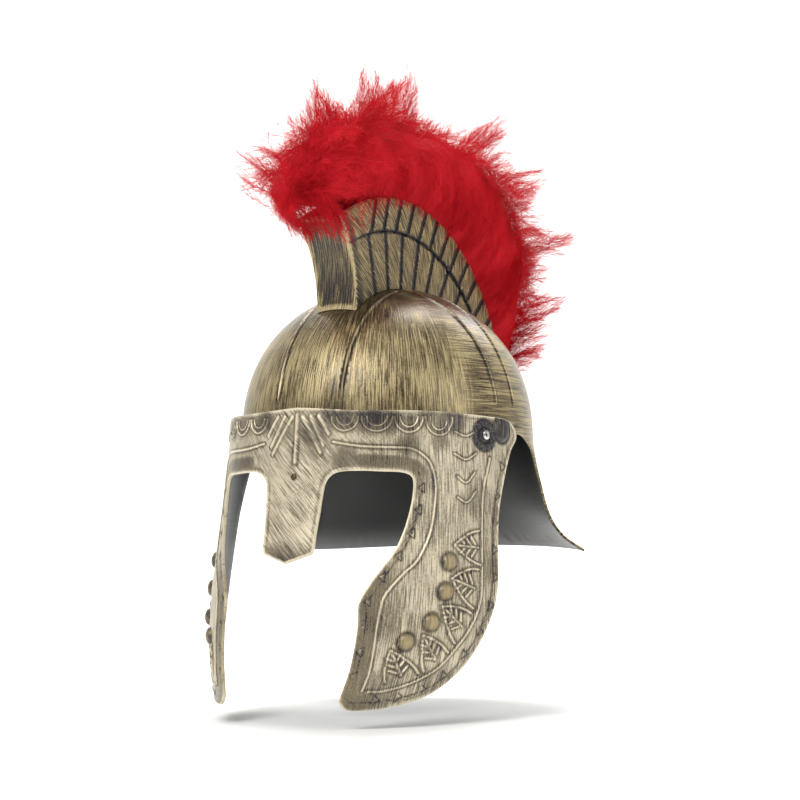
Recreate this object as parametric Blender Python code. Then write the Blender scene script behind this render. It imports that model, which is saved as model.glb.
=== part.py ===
"""A Roman legionary's costume helmet: a moulded skull with its neck guard, a face plate with
nasal and cheek guards, a ribbed crest holder, a feather plume and the eyelets that join them.

Metres, +Z up. The helmet faces -Y and its left side is +X. The origin is the head seat, the
inner face of the crown. A drop is measured downwards from the crown's outer top."""

from math import acos, atan2, cos, degrees, hypot, pi, radians, sin, sqrt

import bmesh
import bpy
import numpy as np
from mathutils import Vector
from mathutils.geometry import delaunay_2d_cdt

# Walls and fits
SKULL_WALL = 0.002
PLATE_WALL = 0.002
CREST_WALL = 0.002
FIT_GAP = 0.0003

# Skull
HEAD_HALF_WIDTH = 0.097
HEAD_FRONT = 0.103
HEAD_REAR = 0.1133
DOME_HEIGHT = 0.1006
DOME_ROUNDNESS = 2.15
PLAN_ROUNDNESS = 2.03
NECK_DROP = 0.1785
NECK_FLARE = 0.352
BEAD_SPACING = 0.048
STRIP_FRONT = 0.018
STRIP_REAR = 0.004
DOME_BEAD_WIDTH = 0.0036
DOME_BEAD_HEIGHT = 0.0009
DOME_LINE_END = 0.985

# Face plate
TEMPLE_GAP = 0.0044
BROW_GAP = 0.0109
PLATE_ROUNDNESS = 2.1
BROW_DROP = 0.1285
BAND_HEIGHT = 0.0388
NASAL_LENGTH = 0.0582
CHEEK_LENGTH = 0.1475
LIP_THICKNESS = 0.0018
LIP_REACH = 0.62
EDGE_BEAD_WIDTH = 0.0018
EDGE_BEAD_HEIGHT = 0.0006
LINE_WIDTH = 0.0022
LINE_HEIGHT = 0.0009
ORNAMENT_WIDTH = 0.0018
ORNAMENT_HEIGHT = 0.0009
STUD_RADIUS = 0.0058
STUD_HEIGHT = 0.0026
TOOTH_LENGTH = 0.0038
TOOTH_HEIGHT = 0.0008
ROSETTE_RADIUS = 0.0105
ROSETTE_HEIGHT = 0.0014
BOSS_RADIUS = 0.0038

# Eyelets and rivet
EYELET_HEAD_RADIUS = 0.003
EYELET_SHANK_RADIUS = 0.0016
EYELET_BORE_RADIUS = 0.0009
EYELET_FLANGE = 0.0008
RIVET_HEAD_RADIUS = 0.0022
RIVET_SHANK_RADIUS = 0.0012
RIVET_HEAD_HEIGHT = 0.0009
RIVET_DROP = 0.1318
ROUND_SIDES = 10

# Crest holder
CREST_HEIGHT = 0.0611
CREST_ARC_DROP = 0.0977
CREST_ARC_BACK = -0.0067
CREST_FRONT = 0.0655
CREST_LEAN = 0.0255
CREST_REAR_TURN = 76.0
CREST_WIDTH = 0.031
CREST_TIER_STEP = 0.0014
CREST_TAPER = 0.10
TIER_HEIGHT = 0.0231
TIER_ARC_DROP = 0.1088
TIER_ARC_BACK = -0.0105
RIB_GROOVE_WIDTH = 0.0022
RIB_GROOVE_DEPTH = 0.0008
UPPER_RIB_PITCH = 6.3
LOWER_RIB_PITCH = 9.0
FIRST_RIB_TURN = -14.0
CHANNEL_DEPTH = 0.010

# Plume
PLUME_HALF_WIDTH = 0.041
PLUME_HALF_DEPTH = 0.034
PLUME_SEAT = 0.026
PLUME_LOCK = 0.100
PLUME_LOCK_RADIUS = 0.0195
PLUME_FRONT_TURN = -36.0
PLUME_REAR_TURN = 70.0

# Mesh steps of the patterns
SKULL_STEP = 0.0165
PLATE_STEP = 0.017
INNER_SHARE = 1.5
EDGE_STEP = 0.010
LINE_STEP = 0.0105
DOME_LINE_STEP = 0.0135
ARC_PITCH = 6.3

CROWN = SKULL_WALL
QUARTER = pi / 2

# A quarter circle's worth of the dome's surface, as its length on the flat pattern.
DOME_ARC = QUARTER * (DOME_HEIGHT + (HEAD_HALF_WIDTH + HEAD_REAR) / 2) / 2
PLATE_HALF_WIDTH = HEAD_HALF_WIDTH + TEMPLE_GAP + PLATE_WALL
PLATE_REACH = HEAD_FRONT + BROW_GAP + PLATE_WALL
PLATE_ARC = PLATE_HALF_WIDTH
FACE_DROP = BROW_DROP + CHEEK_LENGTH
BAND_DROP = BROW_DROP - BAND_HEIGHT

# How far each level of the skull stands outside the brow section. Columns: drop as a share of
# NECK_DROP, flare as a share of NECK_FLARE.
SKULL_FLARES = (
    (0.000, 0.000),
    (0.564, 0.000),
    (0.640, 0.045),
    (0.734, 0.142),
    (0.868, 0.332),
    (0.945, 0.594),
    (1.000, 1.000),
    (1.040, 1.300),
)

# The skull's lower edge, from the middle of the brow to the middle of the nape. Columns: turn
# as a share of half a turn, drop as a share of NECK_DROP, corner.
SKULL_EDGE = (
    (0.000, 0.782, False),
    (0.030, 0.782, False),
    (0.047, 0.765, False),
    (0.058, 0.715, False),
    (0.072, 0.686, False),
    (0.170, 0.678, False),
    (0.333, 0.669, False),
    (0.433, 0.650, False),
    (0.478, 0.616, False),
    (0.503, 0.585, False),
    (0.520, 0.569, False),
    (0.545, 0.571, False),
    (0.573, 0.587, False),
    (0.605, 0.612, False),
    (0.627, 0.639, False),
    (0.642, 0.680, False),
    (0.654, 0.734, False),
    (0.662, 0.812, False),
    (0.663, 0.868, False),
    (0.658, 0.930, False),
    (0.640, 1.000, True),
    (0.720, 0.996, False),
    (0.850, 0.984, False),
    (1.000, 0.978, False),
)

# The face plate's level sections. Columns: drop as a share of FACE_DROP, half width as a share
# of PLATE_HALF_WIDTH, reach to the front as a share of PLATE_REACH.
PLATE_SECTIONS = (
    (0.254, 0.967, 0.953),
    (0.319, 0.978, 0.967),
    (0.464, 1.000, 1.000),
    (0.543, 1.015, 1.028),
    (0.623, 1.034, 1.065),
    (0.725, 1.057, 1.123),
    (0.822, 1.054, 1.167),
    (0.906, 1.012, 1.204),
    (0.978, 0.948, 1.241),
    (1.014, 0.916, 1.259),
)

# The face plate's outline on its left half, from the top of the brow to the nasal's tip.
# Columns: turn as a share of a quarter turn, zone, drop into that zone as a share, corner.
PLATE_EDGE = (
    (0.000, "band", -0.060, False),
    (0.142, "band", -0.020, False),
    (0.256, "band", 0.000, False),
    (0.420, "band", 0.002, False),
    (0.580, "band", 0.010, False),
    (0.700, "band", 0.035, False),
    (0.813, "band", 0.060, False),
    (0.885, "band", 0.072, False),
    (0.935, "band", 0.120, False),
    (0.968, "band", 0.230, False),
    (0.978, "band", 0.360, False),
    (0.966, "band", 0.460, False),
    (0.930, "band", 0.650, False),
    (0.882, "cheek", 0.037, False),
    (0.846, "cheek", 0.172, False),
    (0.831, "cheek", 0.315, False),
    (0.827, "cheek", 0.424, False),
    (0.814, "cheek", 0.552, False),
    (0.776, "cheek", 0.680, False),
    (0.744, "cheek", 0.764, False),
    (0.700, "cheek", 0.847, False),
    (0.632, "cheek", 0.925, False),
    (0.565, "cheek", 0.965, False),
    (0.488, "cheek", 0.987, False),
    (0.400, "cheek", 1.000, False),
    (0.310, "cheek", 0.998, False),
    (0.276, "cheek", 0.965, True),
    (0.283, "cheek", 0.905, False),
    (0.290, "cheek", 0.830, False),
    (0.293, "cheek", 0.740, False),
    (0.293, "cheek", 0.650, False),
    (0.288, "cheek", 0.565, True),
    (0.303, "cheek", 0.522, False),
    (0.340, "cheek", 0.448, False),
    (0.402, "cheek", 0.340, False),
    (0.429, "cheek", 0.275, False),
    (0.451, "cheek", 0.198, False),
    (0.466, "cheek", 0.120, False),
    (0.471, "cheek", 0.050, False),
    (0.460, "cheek", 0.018, False),
    (0.420, "cheek", 0.003, False),
    (0.344, "cheek", 0.000, False),
    (0.263, "cheek", -0.003, False),
    (0.182, "nasal", 0.002, False),
    (0.145, "nasal", 0.050, False),
    (0.127, "nasal", 0.130, False),
    (0.121, "nasal", 0.240, False),
    (0.113, "nasal", 0.480, False),
    (0.107, "nasal", 0.720, False),
    (0.106, "nasal", 0.840, False),
    (0.098, "nasal", 0.895, True),
    (0.000, "nasal", 1.000, False),
)

# Raised lines of the plate's left half. Columns: turn share, zone, drop share.
EYE_LINE = (
    (0.155, "band", 0.520),
    (0.230, "band", 0.575),
    (0.300, "band", 0.600),
    (0.418, "band", 0.613),
    (0.467, "band", 0.636),
    (0.507, "band", 0.732),
    (0.536, "band", 0.861),
    (0.552, "cheek", 0.017),
    (0.558, "cheek", 0.066),
    (0.555, "cheek", 0.131),
    (0.546, "cheek", 0.208),
    (0.528, "cheek", 0.289),
    (0.490, "cheek", 0.378),
    (0.446, "cheek", 0.428),
    (0.408, "cheek", 0.478),
    (0.378, "cheek", 0.530),
    (0.366, "cheek", 0.590),
    (0.361, "cheek", 0.685),
    (0.361, "cheek", 0.795),
    (0.360, "cheek", 0.870),
    (0.352, "cheek", 0.921),
)
RIM_LINE = (
    (0.375, "cheek", 0.924),
    (0.431, "cheek", 0.922),
    (0.520, "cheek", 0.893),
    (0.604, "cheek", 0.836),
    (0.663, "cheek", 0.747),
    (0.711, "cheek", 0.654),
    (0.741, "cheek", 0.552),
    (0.747, "cheek", 0.438),
    (0.751, "cheek", 0.323),
    (0.754, "cheek", 0.241),
    (0.767, "cheek", 0.085),
    (0.792, "band", 0.972),
    (0.808, "band", 0.760),
)
CENTRE_LINE = (
    (0.000, "band", 0.060),
    (0.000, "band", 0.420),
    (0.000, "band", 0.850),
)
PALM_STROKES = (
    ((0.020, "band", 0.090), (0.066, "band", 0.420), (0.103, "band", 0.700)),
    ((0.055, "band", 0.090), (0.088, "band", 0.370), (0.113, "band", 0.570)),
    ((0.088, "band", 0.090), (0.112, "band", 0.240), (0.132, "band", 0.390)),
)
VINE_STROKES = (
    ((0.640, "band", 0.330), (0.690, "band", 0.400), (0.730, "band", 0.340)),
    ((0.640, "band", 0.700), (0.690, "band", 0.790), (0.740, "band", 0.680)),
    ((0.650, "cheek", 0.020), (0.690, "cheek", 0.045), (0.730, "cheek", 0.000)),
    ((0.650, "cheek", 0.110), (0.690, "cheek", 0.130), (0.735, "cheek", 0.080)),
)
# Half moons hanging from the brow band's top edge. Columns: turn of the two ends, drop share.
SCALLOPS = (
    (0.142, 0.250, 0.335),
    (0.262, 0.384, 0.345),
    (0.394, 0.507, 0.360),
    (0.518, 0.632, 0.400),
)
# Leaves on the cheek. Columns: turn and drop shares of the tip and of the base's two corners.
LEAVES = (
    (0.633, 0.314, 0.742, 0.254, 0.742, 0.400),
    (0.622, 0.456, 0.732, 0.420, 0.712, 0.586),
    (0.589, 0.574, 0.703, 0.606, 0.651, 0.730),
    (0.528, 0.693, 0.632, 0.770, 0.556, 0.846),
    (0.422, 0.755, 0.538, 0.852, 0.426, 0.886),
)
# Studs between the leaves. Columns: turn share, cheek drop share.
STUDS = (
    (0.612, 0.385),
    (0.598, 0.512),
    (0.552, 0.640),
    (0.470, 0.720),
)
# Notches along the cheek's border. Columns: turn share, zone, drop share, turn of the point.
TEETH = (
    (0.868, "band", 0.890, 1.0),
    (0.830, "cheek", 0.100, 1.0),
    (0.811, "cheek", 0.215, 1.0),
    (0.803, "cheek", 0.335, 1.0),
    (0.800, "cheek", 0.455, 1.0),
    (0.778, "cheek", 0.575, 1.0),
    (0.737, "cheek", 0.685, 1.0),
    (0.690, "cheek", 0.780, 1.0),
    (0.630, "cheek", 0.868, 1.0),
    (0.560, "cheek", 0.920, 1.0),
    (0.480, "cheek", 0.948, 1.0),
    (0.400, "cheek", 0.960, 1.0),
    (0.318, "cheek", 0.860, -1.0),
    (0.324, "cheek", 0.760, -1.0),
    (0.324, "cheek", 0.660, -1.0),
    (0.330, "cheek", 0.550, -1.0),
    (0.375, "cheek", 0.450, -1.0),
    (0.430, "cheek", 0.360, -1.0),
    (0.475, "cheek", 0.265, -1.0),
    (0.500, "cheek", 0.165, -1.0),
    (0.512, "cheek", 0.070, -1.0),
)
ROSETTE_TURN = 0.785
ROSETTE_DROP = 0.375

# The tufts that give the plume its outline. Columns: turn along the crest in degrees, lean to
# the left in degrees, length as a share of PLUME_LOCK.
TUFTS = (
    (-38.0, -41.0, 0.68),
    (-40.0, 12.0, 0.52),
    (-30.0, 42.0, 0.62),
    (-15.0, -17.0, 0.72),
    (-4.2, 1.0, 0.93),
    (4.8, 6.0, 1.01),
    (13.0, 14.0, 0.75),
    (25.5, 30.0, 1.08),
    (27.0, -28.0, 0.92),
    (40.3, 34.5, 0.88),
    (41.0, -36.0, 0.86),
    (57.0, 42.0, 0.66),
    (58.0, -44.0, 0.66),
    (70.0, 55.0, 0.46),
    (70.0, -55.0, 0.46),
)
# Rows of plain locks between the tufts. Columns: lean in degrees, length share, first turn.
LOCK_ROWS = (
    (-74.0, 0.60, -30.0),
    (-36.0, 0.72, -20.0),
    (34.0, 0.72, -16.0),
    (72.0, 0.60, -34.0),
)
LOCK_PITCH = 19.0

for leftover in list(bpy.data.objects):
    bpy.data.objects.remove(leftover)


def table(rows, at):
    """Smooth value of a table's second column at one value of its first, by cubic spans."""
    xs = [row[0] for row in rows]
    ys = [row[1] for row in rows]
    at = min(max(at, xs[0]), xs[-1])
    i = max(j for j in range(len(xs) - 1) if xs[j] <= at)
    slopes = []
    for j in range(len(xs)):
        a = max(j - 1, 0)
        b = min(j + 1, len(xs) - 1)
        slopes.append((ys[b] - ys[a]) / (xs[b] - xs[a]))
    h = xs[i + 1] - xs[i]
    t = (at - xs[i]) / h
    rise = ys[i + 1] - ys[i]
    return (
        ys[i]
        + t * t * (3 - 2 * t) * rise
        + h * (t * (1 - t) ** 2 * slopes[i] - t * t * (1 - t) * slopes[i + 1])
    )


def arc_power(value, roundness):
    """A sine or cosine drawn out to the corner of a rounder or squarer oval."""
    return abs(value) ** (2 / roundness) * (1 if value >= 0 else -1)


def smooth_path(points, corners, step):
    """Points about a step apart on the curve through the given ones, straight at corners."""
    points = [Vector(p) for p in points]
    path = [points[0]]
    for i in range(len(points) - 1):
        a, b = points[i], points[i + 1]
        before = a if corners[i] or i == 0 else points[i - 1]
        after = b if corners[i + 1] or i + 2 == len(points) else points[i + 2]
        start = (b - before) / 2 if before != a else b - a
        end = (after - a) / 2 if after != b else b - a
        count = max(1, round((b - a).length / step))
        for j in range(1, count + 1):
            t = j / count
            path.append(
                a * (1 + 2 * t) * (1 - t) ** 2
                + b * t * t * (3 - 2 * t)
                + start * t * (1 - t) ** 2
                - end * t * t * (1 - t)
            )
    return path


def thinned(path, step):
    """The path without points that lie much closer than a step to the one before."""
    kept = [path[0]]
    for point in path[1:-1]:
        if (point - kept[-1]).length > 0.55 * step:
            kept.append(point)
    if (path[-1] - kept[-1]).length < 0.3 * step and len(kept) > 1:
        kept.pop()
    return kept + [path[-1]]


def segment_distances(points, segments):
    """Each point's distance to the nearest of the segments."""
    if len(segments) == 0:
        return np.full(len(points), np.inf)
    a = segments[:, 0][None]
    along = (segments[:, 1] - segments[:, 0])[None]
    offset = points[:, None] - a
    share = (offset * along).sum(2) / np.maximum((along**2).sum(2), 1e-18)
    nearest = offset - np.clip(share, 0, 1)[..., None] * along
    return np.sqrt((nearest**2).sum(2)).min(1)


def inside(points, loops):
    """Whether each point lies inside the first loop and outside the others."""
    state = np.zeros(len(points), bool)
    for loop in loops:
        a = np.array(loop)
        b = np.roll(a, -1, 0)
        for (ax, ay), (bx, by) in zip(a, b, strict=True):
            if ay == by:
                continue
            level = (points[:, 1] > min(ay, by)) & (points[:, 1] <= max(ay, by))
            cross = ax + (points[:, 1] - ay) * (bx - ax) / (by - ay)
            state ^= level & (points[:, 0] < cross)
    return state


class Stroke:
    """A raised line on a pattern: its middle stands proud and its two feet lie on the sheet."""

    def __init__(self, path, width, height):
        self.path = path
        self.half = width / 2
        self.height = height

    def lines(self):
        feet = ([], [])
        for i, point in enumerate(self.path):
            a = self.path[max(i - 1, 0)]
            b = self.path[min(i + 1, len(self.path) - 1)]
            side = Vector((a.y - b.y, b.x - a.x)).normalized() * self.half
            feet[0].append(point + side)
            feet[1].append(point - side)
        return [self.path, feet[0], feet[1]]

    def heights(self, points):
        segments = np.array([(a[:], b[:]) for a, b in zip(self.path, self.path[1:], strict=False)])
        share = 1 - segment_distances(points, segments) / self.half
        return self.height * np.clip(share, 0, 1)


class Dome:
    """A raised round stud, with as many sides as asked, drawn round on the stretched sheet."""

    def __init__(self, centre, radius, height, stretch, sides, flat=0.0):
        self.centre = centre
        self.radius = radius
        self.height = height
        self.stretch = stretch
        self.sides = sides
        self.flat = flat

    def ring(self, share):
        points = []
        for i in range(self.sides):
            turn = 2 * pi * (i + 0.5) / self.sides
            across = cos(turn) * self.radius * share / self.stretch
            points.append(self.centre + Vector((across, sin(turn) * self.radius * share)))
        return points + points[:1]

    def lines(self):
        shares = (1.0, self.flat) if self.flat else (1.0, 0.6)
        return [self.ring(share) for share in shares] + [[self.centre]]

    def heights(self, points):
        across = (points[:, 0] - self.centre.x) * self.stretch
        share = np.hypot(across, points[:, 1] - self.centre.y) / self.radius
        if self.flat:
            return self.height * np.clip((1 - share) / (1 - self.flat), 0, 1)
        return self.height * np.sqrt(np.clip(1 - share**2, 0, 1))


class Tooth:
    """A raised triangular notch of a border, its point turned to one side."""

    def __init__(self, centre, length, height, turned):
        self.centre = centre
        self.corners = [
            centre + Vector((0, length * 0.75)),
            centre - Vector((0, length * 0.75)),
            centre + Vector((length * turned, 0)),
        ]
        self.middle = centre + Vector((length * turned / 3, 0))
        self.height = height
        self.reach = length / 3

    def lines(self):
        return [self.corners + self.corners[:1], [self.middle]]

    def heights(self, points):
        away = np.hypot(points[:, 0] - self.middle.x, points[:, 1] - self.middle.y)
        return self.height * np.clip(1 - away / self.reach, 0, 1)


def offset_loop(loop, amount):
    """A loop moved sideways, towards its left."""
    moved = []
    for i, point in enumerate(loop):
        before = (point - loop[i - 1]).normalized()
        after = (loop[(i + 1) % len(loop)] - point).normalized()
        side = Vector((-before.y - after.y, before.x + after.x)).normalized()
        miter = max(0.5, side.dot(Vector((-before.y, before.x))))
        moved.append(point + side * amount / miter)
    return moved


def triangulated(outline, lines, step):
    """Triangles over the inside of an outline that keep the given lines as edges.

    Returns the points, the triangles, and where each outline point went."""
    coords = [Vector(p) for p in outline]
    count = len(outline)
    edges = [(i, (i + 1) % count) for i in range(count)]
    segments = [(outline[i][:], outline[(i + 1) % count][:]) for i in range(count)]
    for line in lines:
        first = len(coords)
        coords.extend(line)
        for i in range(len(line) - 1):
            edges.append((first + i, first + i + 1))
            segments.append((line[i][:], line[i + 1][:]))
        if len(line) == 1:
            segments.append((line[0][:], line[0][:]))
    segments = np.array(segments)
    low = np.array([p[:] for p in outline]).min(0)
    high = np.array([p[:] for p in outline]).max(0)
    grid = []
    row = 0
    y = low[1]
    while y < high[1]:
        middle = (low[0] + high[0]) / 2
        half_count = int((high[0] - low[0]) / 2 / step) + 1
        for i in range(-half_count, half_count + 1):
            grid.append((middle + (i + 0.5 * (row % 2)) * step, y))
        y += step * sqrt(3) / 2
        row += 1
    grid = np.array(grid)
    loop = [p[:] for p in outline]
    free = segment_distances(grid, segments) > 0.5 * step
    grid = grid[free & inside(grid, [loop])]
    coords.extend(Vector(p) for p in grid)
    found = delaunay_2d_cdt(coords, edges, [], 0, 1e-7, True)
    points = np.array([p[:] for p in found[0]])
    triangles = np.array(found[2])
    middles = points[triangles].mean(1)
    triangles = triangles[inside(middles, [loop])]
    place = {}
    for index, sources in enumerate(found[3]):
        for source in sources:
            place[source] = index
    return points, triangles, [place[i] for i in range(count)]


def mesh_object(name, points, faces, angle=40.0):
    """A new object with smooth shading that breaks at sharp edges."""
    mesh = bpy.data.meshes.new(name)
    mesh.from_pydata([tuple(p) for p in points], [], [tuple(map(int, f)) for f in faces])
    mesh.validate()
    mesh.shade_smooth()
    mesh.set_sharp_from_angle(angle=radians(angle))
    piece = bpy.data.objects.new(name, mesh)
    bpy.context.collection.objects.link(piece)
    return piece


def normal_at(surface, u, v, step=0.0004):
    """The sheet's outward direction at a point of its pattern."""
    along = surface(u + step, v) - surface(u - step, v)
    across = surface(u, v + step) - surface(u, v - step)
    return along.cross(across).normalized()


def moulded_sheet(name, surface, outline, wall, reliefs, edge_bead, step, seats):
    """One moulded wall: its outer face with raised work, its plain inner face and its edge.

    Seats are rings of the pattern that both faces keep, where a fastener bears."""
    lines = [line for relief in reliefs for line in relief.lines()] + seats
    if edge_bead:
        loop = offset_loop(outline, EDGE_BEAD_WIDTH)
        lines.append(loop + loop[:1])
    flat, triangles, rim = triangulated(outline, lines, step)
    heights = np.zeros(len(flat))
    for relief in reliefs:
        heights = np.maximum(heights, relief.heights(flat))
    if edge_bead:
        border = np.array([(outline[i - 1][:], outline[i][:]) for i in range(len(outline))])
        lip = np.clip(1 - segment_distances(flat, border) / (0.9 * EDGE_BEAD_WIDTH), 0, 1)
        heights = np.maximum(heights, edge_bead * lip)
    points = []
    for (u, v), height in zip(flat, heights, strict=True):
        points.append(surface(u, v) + normal_at(surface, u, v) * height)
    under, inner_triangles, inner_rim = triangulated(outline, seats, INNER_SHARE * step)
    first = len(points)
    for u, v in under:
        points.append(surface(u, v) - normal_at(surface, u, v) * wall)
    faces = [tuple(t) for t in triangles]
    faces += [(first + t[2], first + t[1], first + t[0]) for t in inner_triangles]
    for i in range(len(outline)):
        j = (i + 1) % len(outline)
        faces.append((rim[j], rim[i], first + inner_rim[i]))
        faces.append((rim[j], first + inner_rim[i], first + inner_rim[j]))
    return mesh_object(name, points, faces)


def finish(piece, name, colour, roughness, metallic):
    """Give a piece its own plain material."""
    material = bpy.data.materials.new(name)
    material.use_nodes = True
    shader = material.node_tree.nodes["Principled BSDF"]
    shader.inputs["Base Color"].default_value = (*colour, 1.0)
    shader.inputs["Roughness"].default_value = roughness
    shader.inputs["Metallic"].default_value = metallic
    piece.data.materials.clear()
    piece.data.materials.append(material)


def combine(piece, other, operation):
    """Join a second shape into a piece or cut it out, and remove the second shape."""
    other.hide_render = True
    other.display_type = "WIRE"
    modifier = piece.modifiers.new(operation.title(), "BOOLEAN")
    modifier.operation = operation
    modifier.solver = "EXACT"
    modifier.object = other
    graph = bpy.context.evaluated_depsgraph_get()
    shaped = bpy.data.meshes.new_from_object(piece.evaluated_get(graph))
    piece.modifiers.clear()
    piece.data = shaped
    bpy.data.objects.remove(other)


def cleaned(piece, angle=40.0):
    """Merge the slivers that joining leaves, and shade the piece again."""
    shape = bmesh.new()
    shape.from_mesh(piece.data)
    bmesh.ops.triangulate(shape, faces=shape.faces)
    bmesh.ops.remove_doubles(shape, verts=shape.verts, dist=2e-5)
    bmesh.ops.dissolve_degenerate(shape, edges=shape.edges, dist=1e-5)
    bmesh.ops.triangulate(shape, faces=shape.faces)
    shape.to_mesh(piece.data)
    shape.free()
    piece.data.shade_smooth()
    piece.data.set_sharp_from_angle(angle=radians(angle))


# The skull's pattern is a disc: its middle is the crown, its angle the turn from the front,
# and its radius the way down the surface.
def skull_axes(drop):
    """Half width, front and rear reach of the skull's level section at a drop."""
    if drop < DOME_HEIGHT:
        share = (1 - abs(1 - drop / DOME_HEIGHT) ** DOME_ROUNDNESS) ** (1 / DOME_ROUNDNESS)
        return HEAD_HALF_WIDTH * share, HEAD_FRONT * share, HEAD_REAR * share
    flare = 1 + NECK_FLARE * table(SKULL_FLARES, drop / NECK_DROP)
    sag = (INNER_SHARE * PLATE_STEP) ** 2 / (8 * HEAD_FRONT)
    seat = plate_axes(drop)[1] - PLATE_WALL - FIT_GAP - sag
    ease = min(1.0, (drop - DOME_HEIGHT) / (BROW_DROP - DOME_HEIGHT) * 1.15)
    front = HEAD_FRONT + (seat - HEAD_FRONT) * ease * ease * (3 - 2 * ease)
    return HEAD_HALF_WIDTH * flare, front, HEAD_REAR * flare


def skull_drop(radius):
    """Drop reached at a radius of the skull's pattern."""
    if radius < DOME_ARC:
        return DOME_HEIGHT * (1 - cos(radius / DOME_ARC * QUARTER) ** (2 / DOME_ROUNDNESS))
    return DOME_HEIGHT + radius - DOME_ARC


def skull_radius(drop):
    """Radius of the skull's pattern at a drop."""
    if drop < DOME_HEIGHT:
        return DOME_ARC / QUARTER * acos((1 - drop / DOME_HEIGHT) ** (DOME_ROUNDNESS / 2))
    return DOME_ARC + drop - DOME_HEIGHT


def skull_section_point(turn, drop):
    width, front, rear = skull_axes(drop)
    across = width * arc_power(sin(turn), PLAN_ROUNDNESS)
    forward = cos(turn)
    reach = front if forward > 0 else rear
    return Vector((across, -reach * arc_power(forward, PLAN_ROUNDNESS), CROWN - drop))


def skull_surface(u, v):
    return skull_section_point(atan2(u, -v), skull_drop(hypot(u, v)))


def skull_pattern(turn, drop):
    """Pattern place of a turn from the front and a drop."""
    radius = skull_radius(drop)
    return Vector((radius * sin(turn), -radius * cos(turn)))


def dome_pattern(x, y):
    """Pattern place of the dome's point over a place of the plan."""
    reach = HEAD_FRONT if y < 0 else HEAD_REAR
    across = abs(x / HEAD_HALF_WIDTH) ** PLAN_ROUNDNESS
    along = abs(y / reach) ** PLAN_ROUNDNESS
    level = (across + along) ** (1 / PLAN_ROUNDNESS)
    drop = DOME_HEIGHT * (1 - (1 - level**DOME_ROUNDNESS) ** (1 / DOME_ROUNDNESS))
    return level_pattern(x, y, drop)


def level_pattern(x, y, drop):
    """Pattern place of the direction of a place of the plan, on the level section at a drop."""
    width, front, rear = skull_axes(drop)
    across = abs(x / width) ** (PLAN_ROUNDNESS / 2)
    along = abs(y / (front if y < 0 else rear)) ** (PLAN_ROUNDNESS / 2)
    place = skull_pattern(atan2(across, along * (1 if y < 0 else -1)), drop)
    place.x *= 1 if x >= 0 else -1
    return place


def line_end(across):
    """Where a line of the dome stops, as a share of its reach, at its share of the other axis."""
    return (DOME_LINE_END**PLAN_ROUNDNESS - abs(across) ** PLAN_ROUNDNESS) ** (1 / PLAN_ROUNDNESS)


def seat_ring(centre, radius):
    """A ring about a fastener's place on a pattern, with its centre."""
    turns = [2 * pi * i / 8 for i in range(9)]
    ring = [centre + Vector((cos(turn), sin(turn))) * radius for turn in turns]
    return [ring, [centre]]


def skull():
    half_girth = pi * HEAD_HALF_WIDTH
    points = [Vector((half_girth * turn, NECK_DROP * drop)) for turn, drop, corner in SKULL_EDGE]
    corners = [corner for turn, drop, corner in SKULL_EDGE]
    rolled = thinned(smooth_path(points, corners, EDGE_STEP), EDGE_STEP)
    left = [skull_pattern(p.x / HEAD_HALF_WIDTH, p.y) for p in rolled]
    right = [Vector((-p.x, p.y)) for p in left[-2:0:-1]]
    outline = left + right
    reliefs = []
    side = BEAD_SPACING / 2
    front_end = HEAD_FRONT * line_end(side / HEAD_HALF_WIDTH)
    rear_end = HEAD_REAR * line_end(side / HEAD_HALF_WIDTH)
    for sign in (1, -1):
        length = front_end + rear_end
        count = round(length * 1.3 / DOME_LINE_STEP)
        path = []
        for i in range(count + 1):
            swing = -cos(pi * i / count)
            y = swing * (front_end if swing < 0 else rear_end)
            path.append(dome_pattern(sign * side, y))
        reliefs.append(Stroke(path, DOME_BEAD_WIDTH, DOME_BEAD_HEIGHT))
        for y in (-STRIP_FRONT, STRIP_REAR):
            start = side + DOME_BEAD_WIDTH * 0.8
            end = HEAD_HALF_WIDTH * line_end(y / (HEAD_FRONT if y < 0 else HEAD_REAR))
            count = round((end - start) * 1.5 / DOME_LINE_STEP)
            path = []
            for i in range(count + 1):
                x = start + (end - start) * sin(QUARTER * i / count)
                path.append(dome_pattern(sign * x, y))
            reliefs.append(Stroke(path, DOME_BEAD_WIDTH, DOME_BEAD_HEIGHT))

    seats = []
    for base, axis, rim in fasteners():
        point = base - axis * skull_depth(base, axis)
        place = level_pattern(point.x, point.y, CROWN - point.z)
        seats += seat_ring(place, 1.6 * rim)
    piece = moulded_sheet(
        "skull", skull_surface, outline, SKULL_WALL, reliefs, 0.0, SKULL_STEP, seats
    )
    finish(piece, "antique_bronze_skull", (0.42, 0.35, 0.20), 0.38, 0.55)
    return piece


def plate_axes(drop):
    """Half width and reach of the face plate's outer face at a drop."""
    share = drop / FACE_DROP
    width = table([(row[0], row[1]) for row in PLATE_SECTIONS], share)
    reach = table([(row[0], row[2]) for row in PLATE_SECTIONS], share)
    return PLATE_HALF_WIDTH * width, PLATE_REACH * reach


def plate_surface(u, v):
    """The face plate's outer face; its pattern has the turn across and the height up."""
    turn = u / PLATE_ARC
    width, reach = plate_axes(-v)
    across = width * arc_power(sin(turn), PLATE_ROUNDNESS)
    return Vector((across, -reach * arc_power(cos(turn), PLATE_ROUNDNESS), CROWN + v))


def plate_place(turn, zone, share):
    """Pattern place of a turn share and a share of the way down a zone."""
    if zone == "band":
        drop = BAND_DROP + BAND_HEIGHT * share
    elif zone == "nasal":
        drop = BROW_DROP + NASAL_LENGTH * share
    else:
        drop = BROW_DROP + CHEEK_LENGTH * share
    return Vector((PLATE_ARC * QUARTER * turn, -drop))


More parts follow.
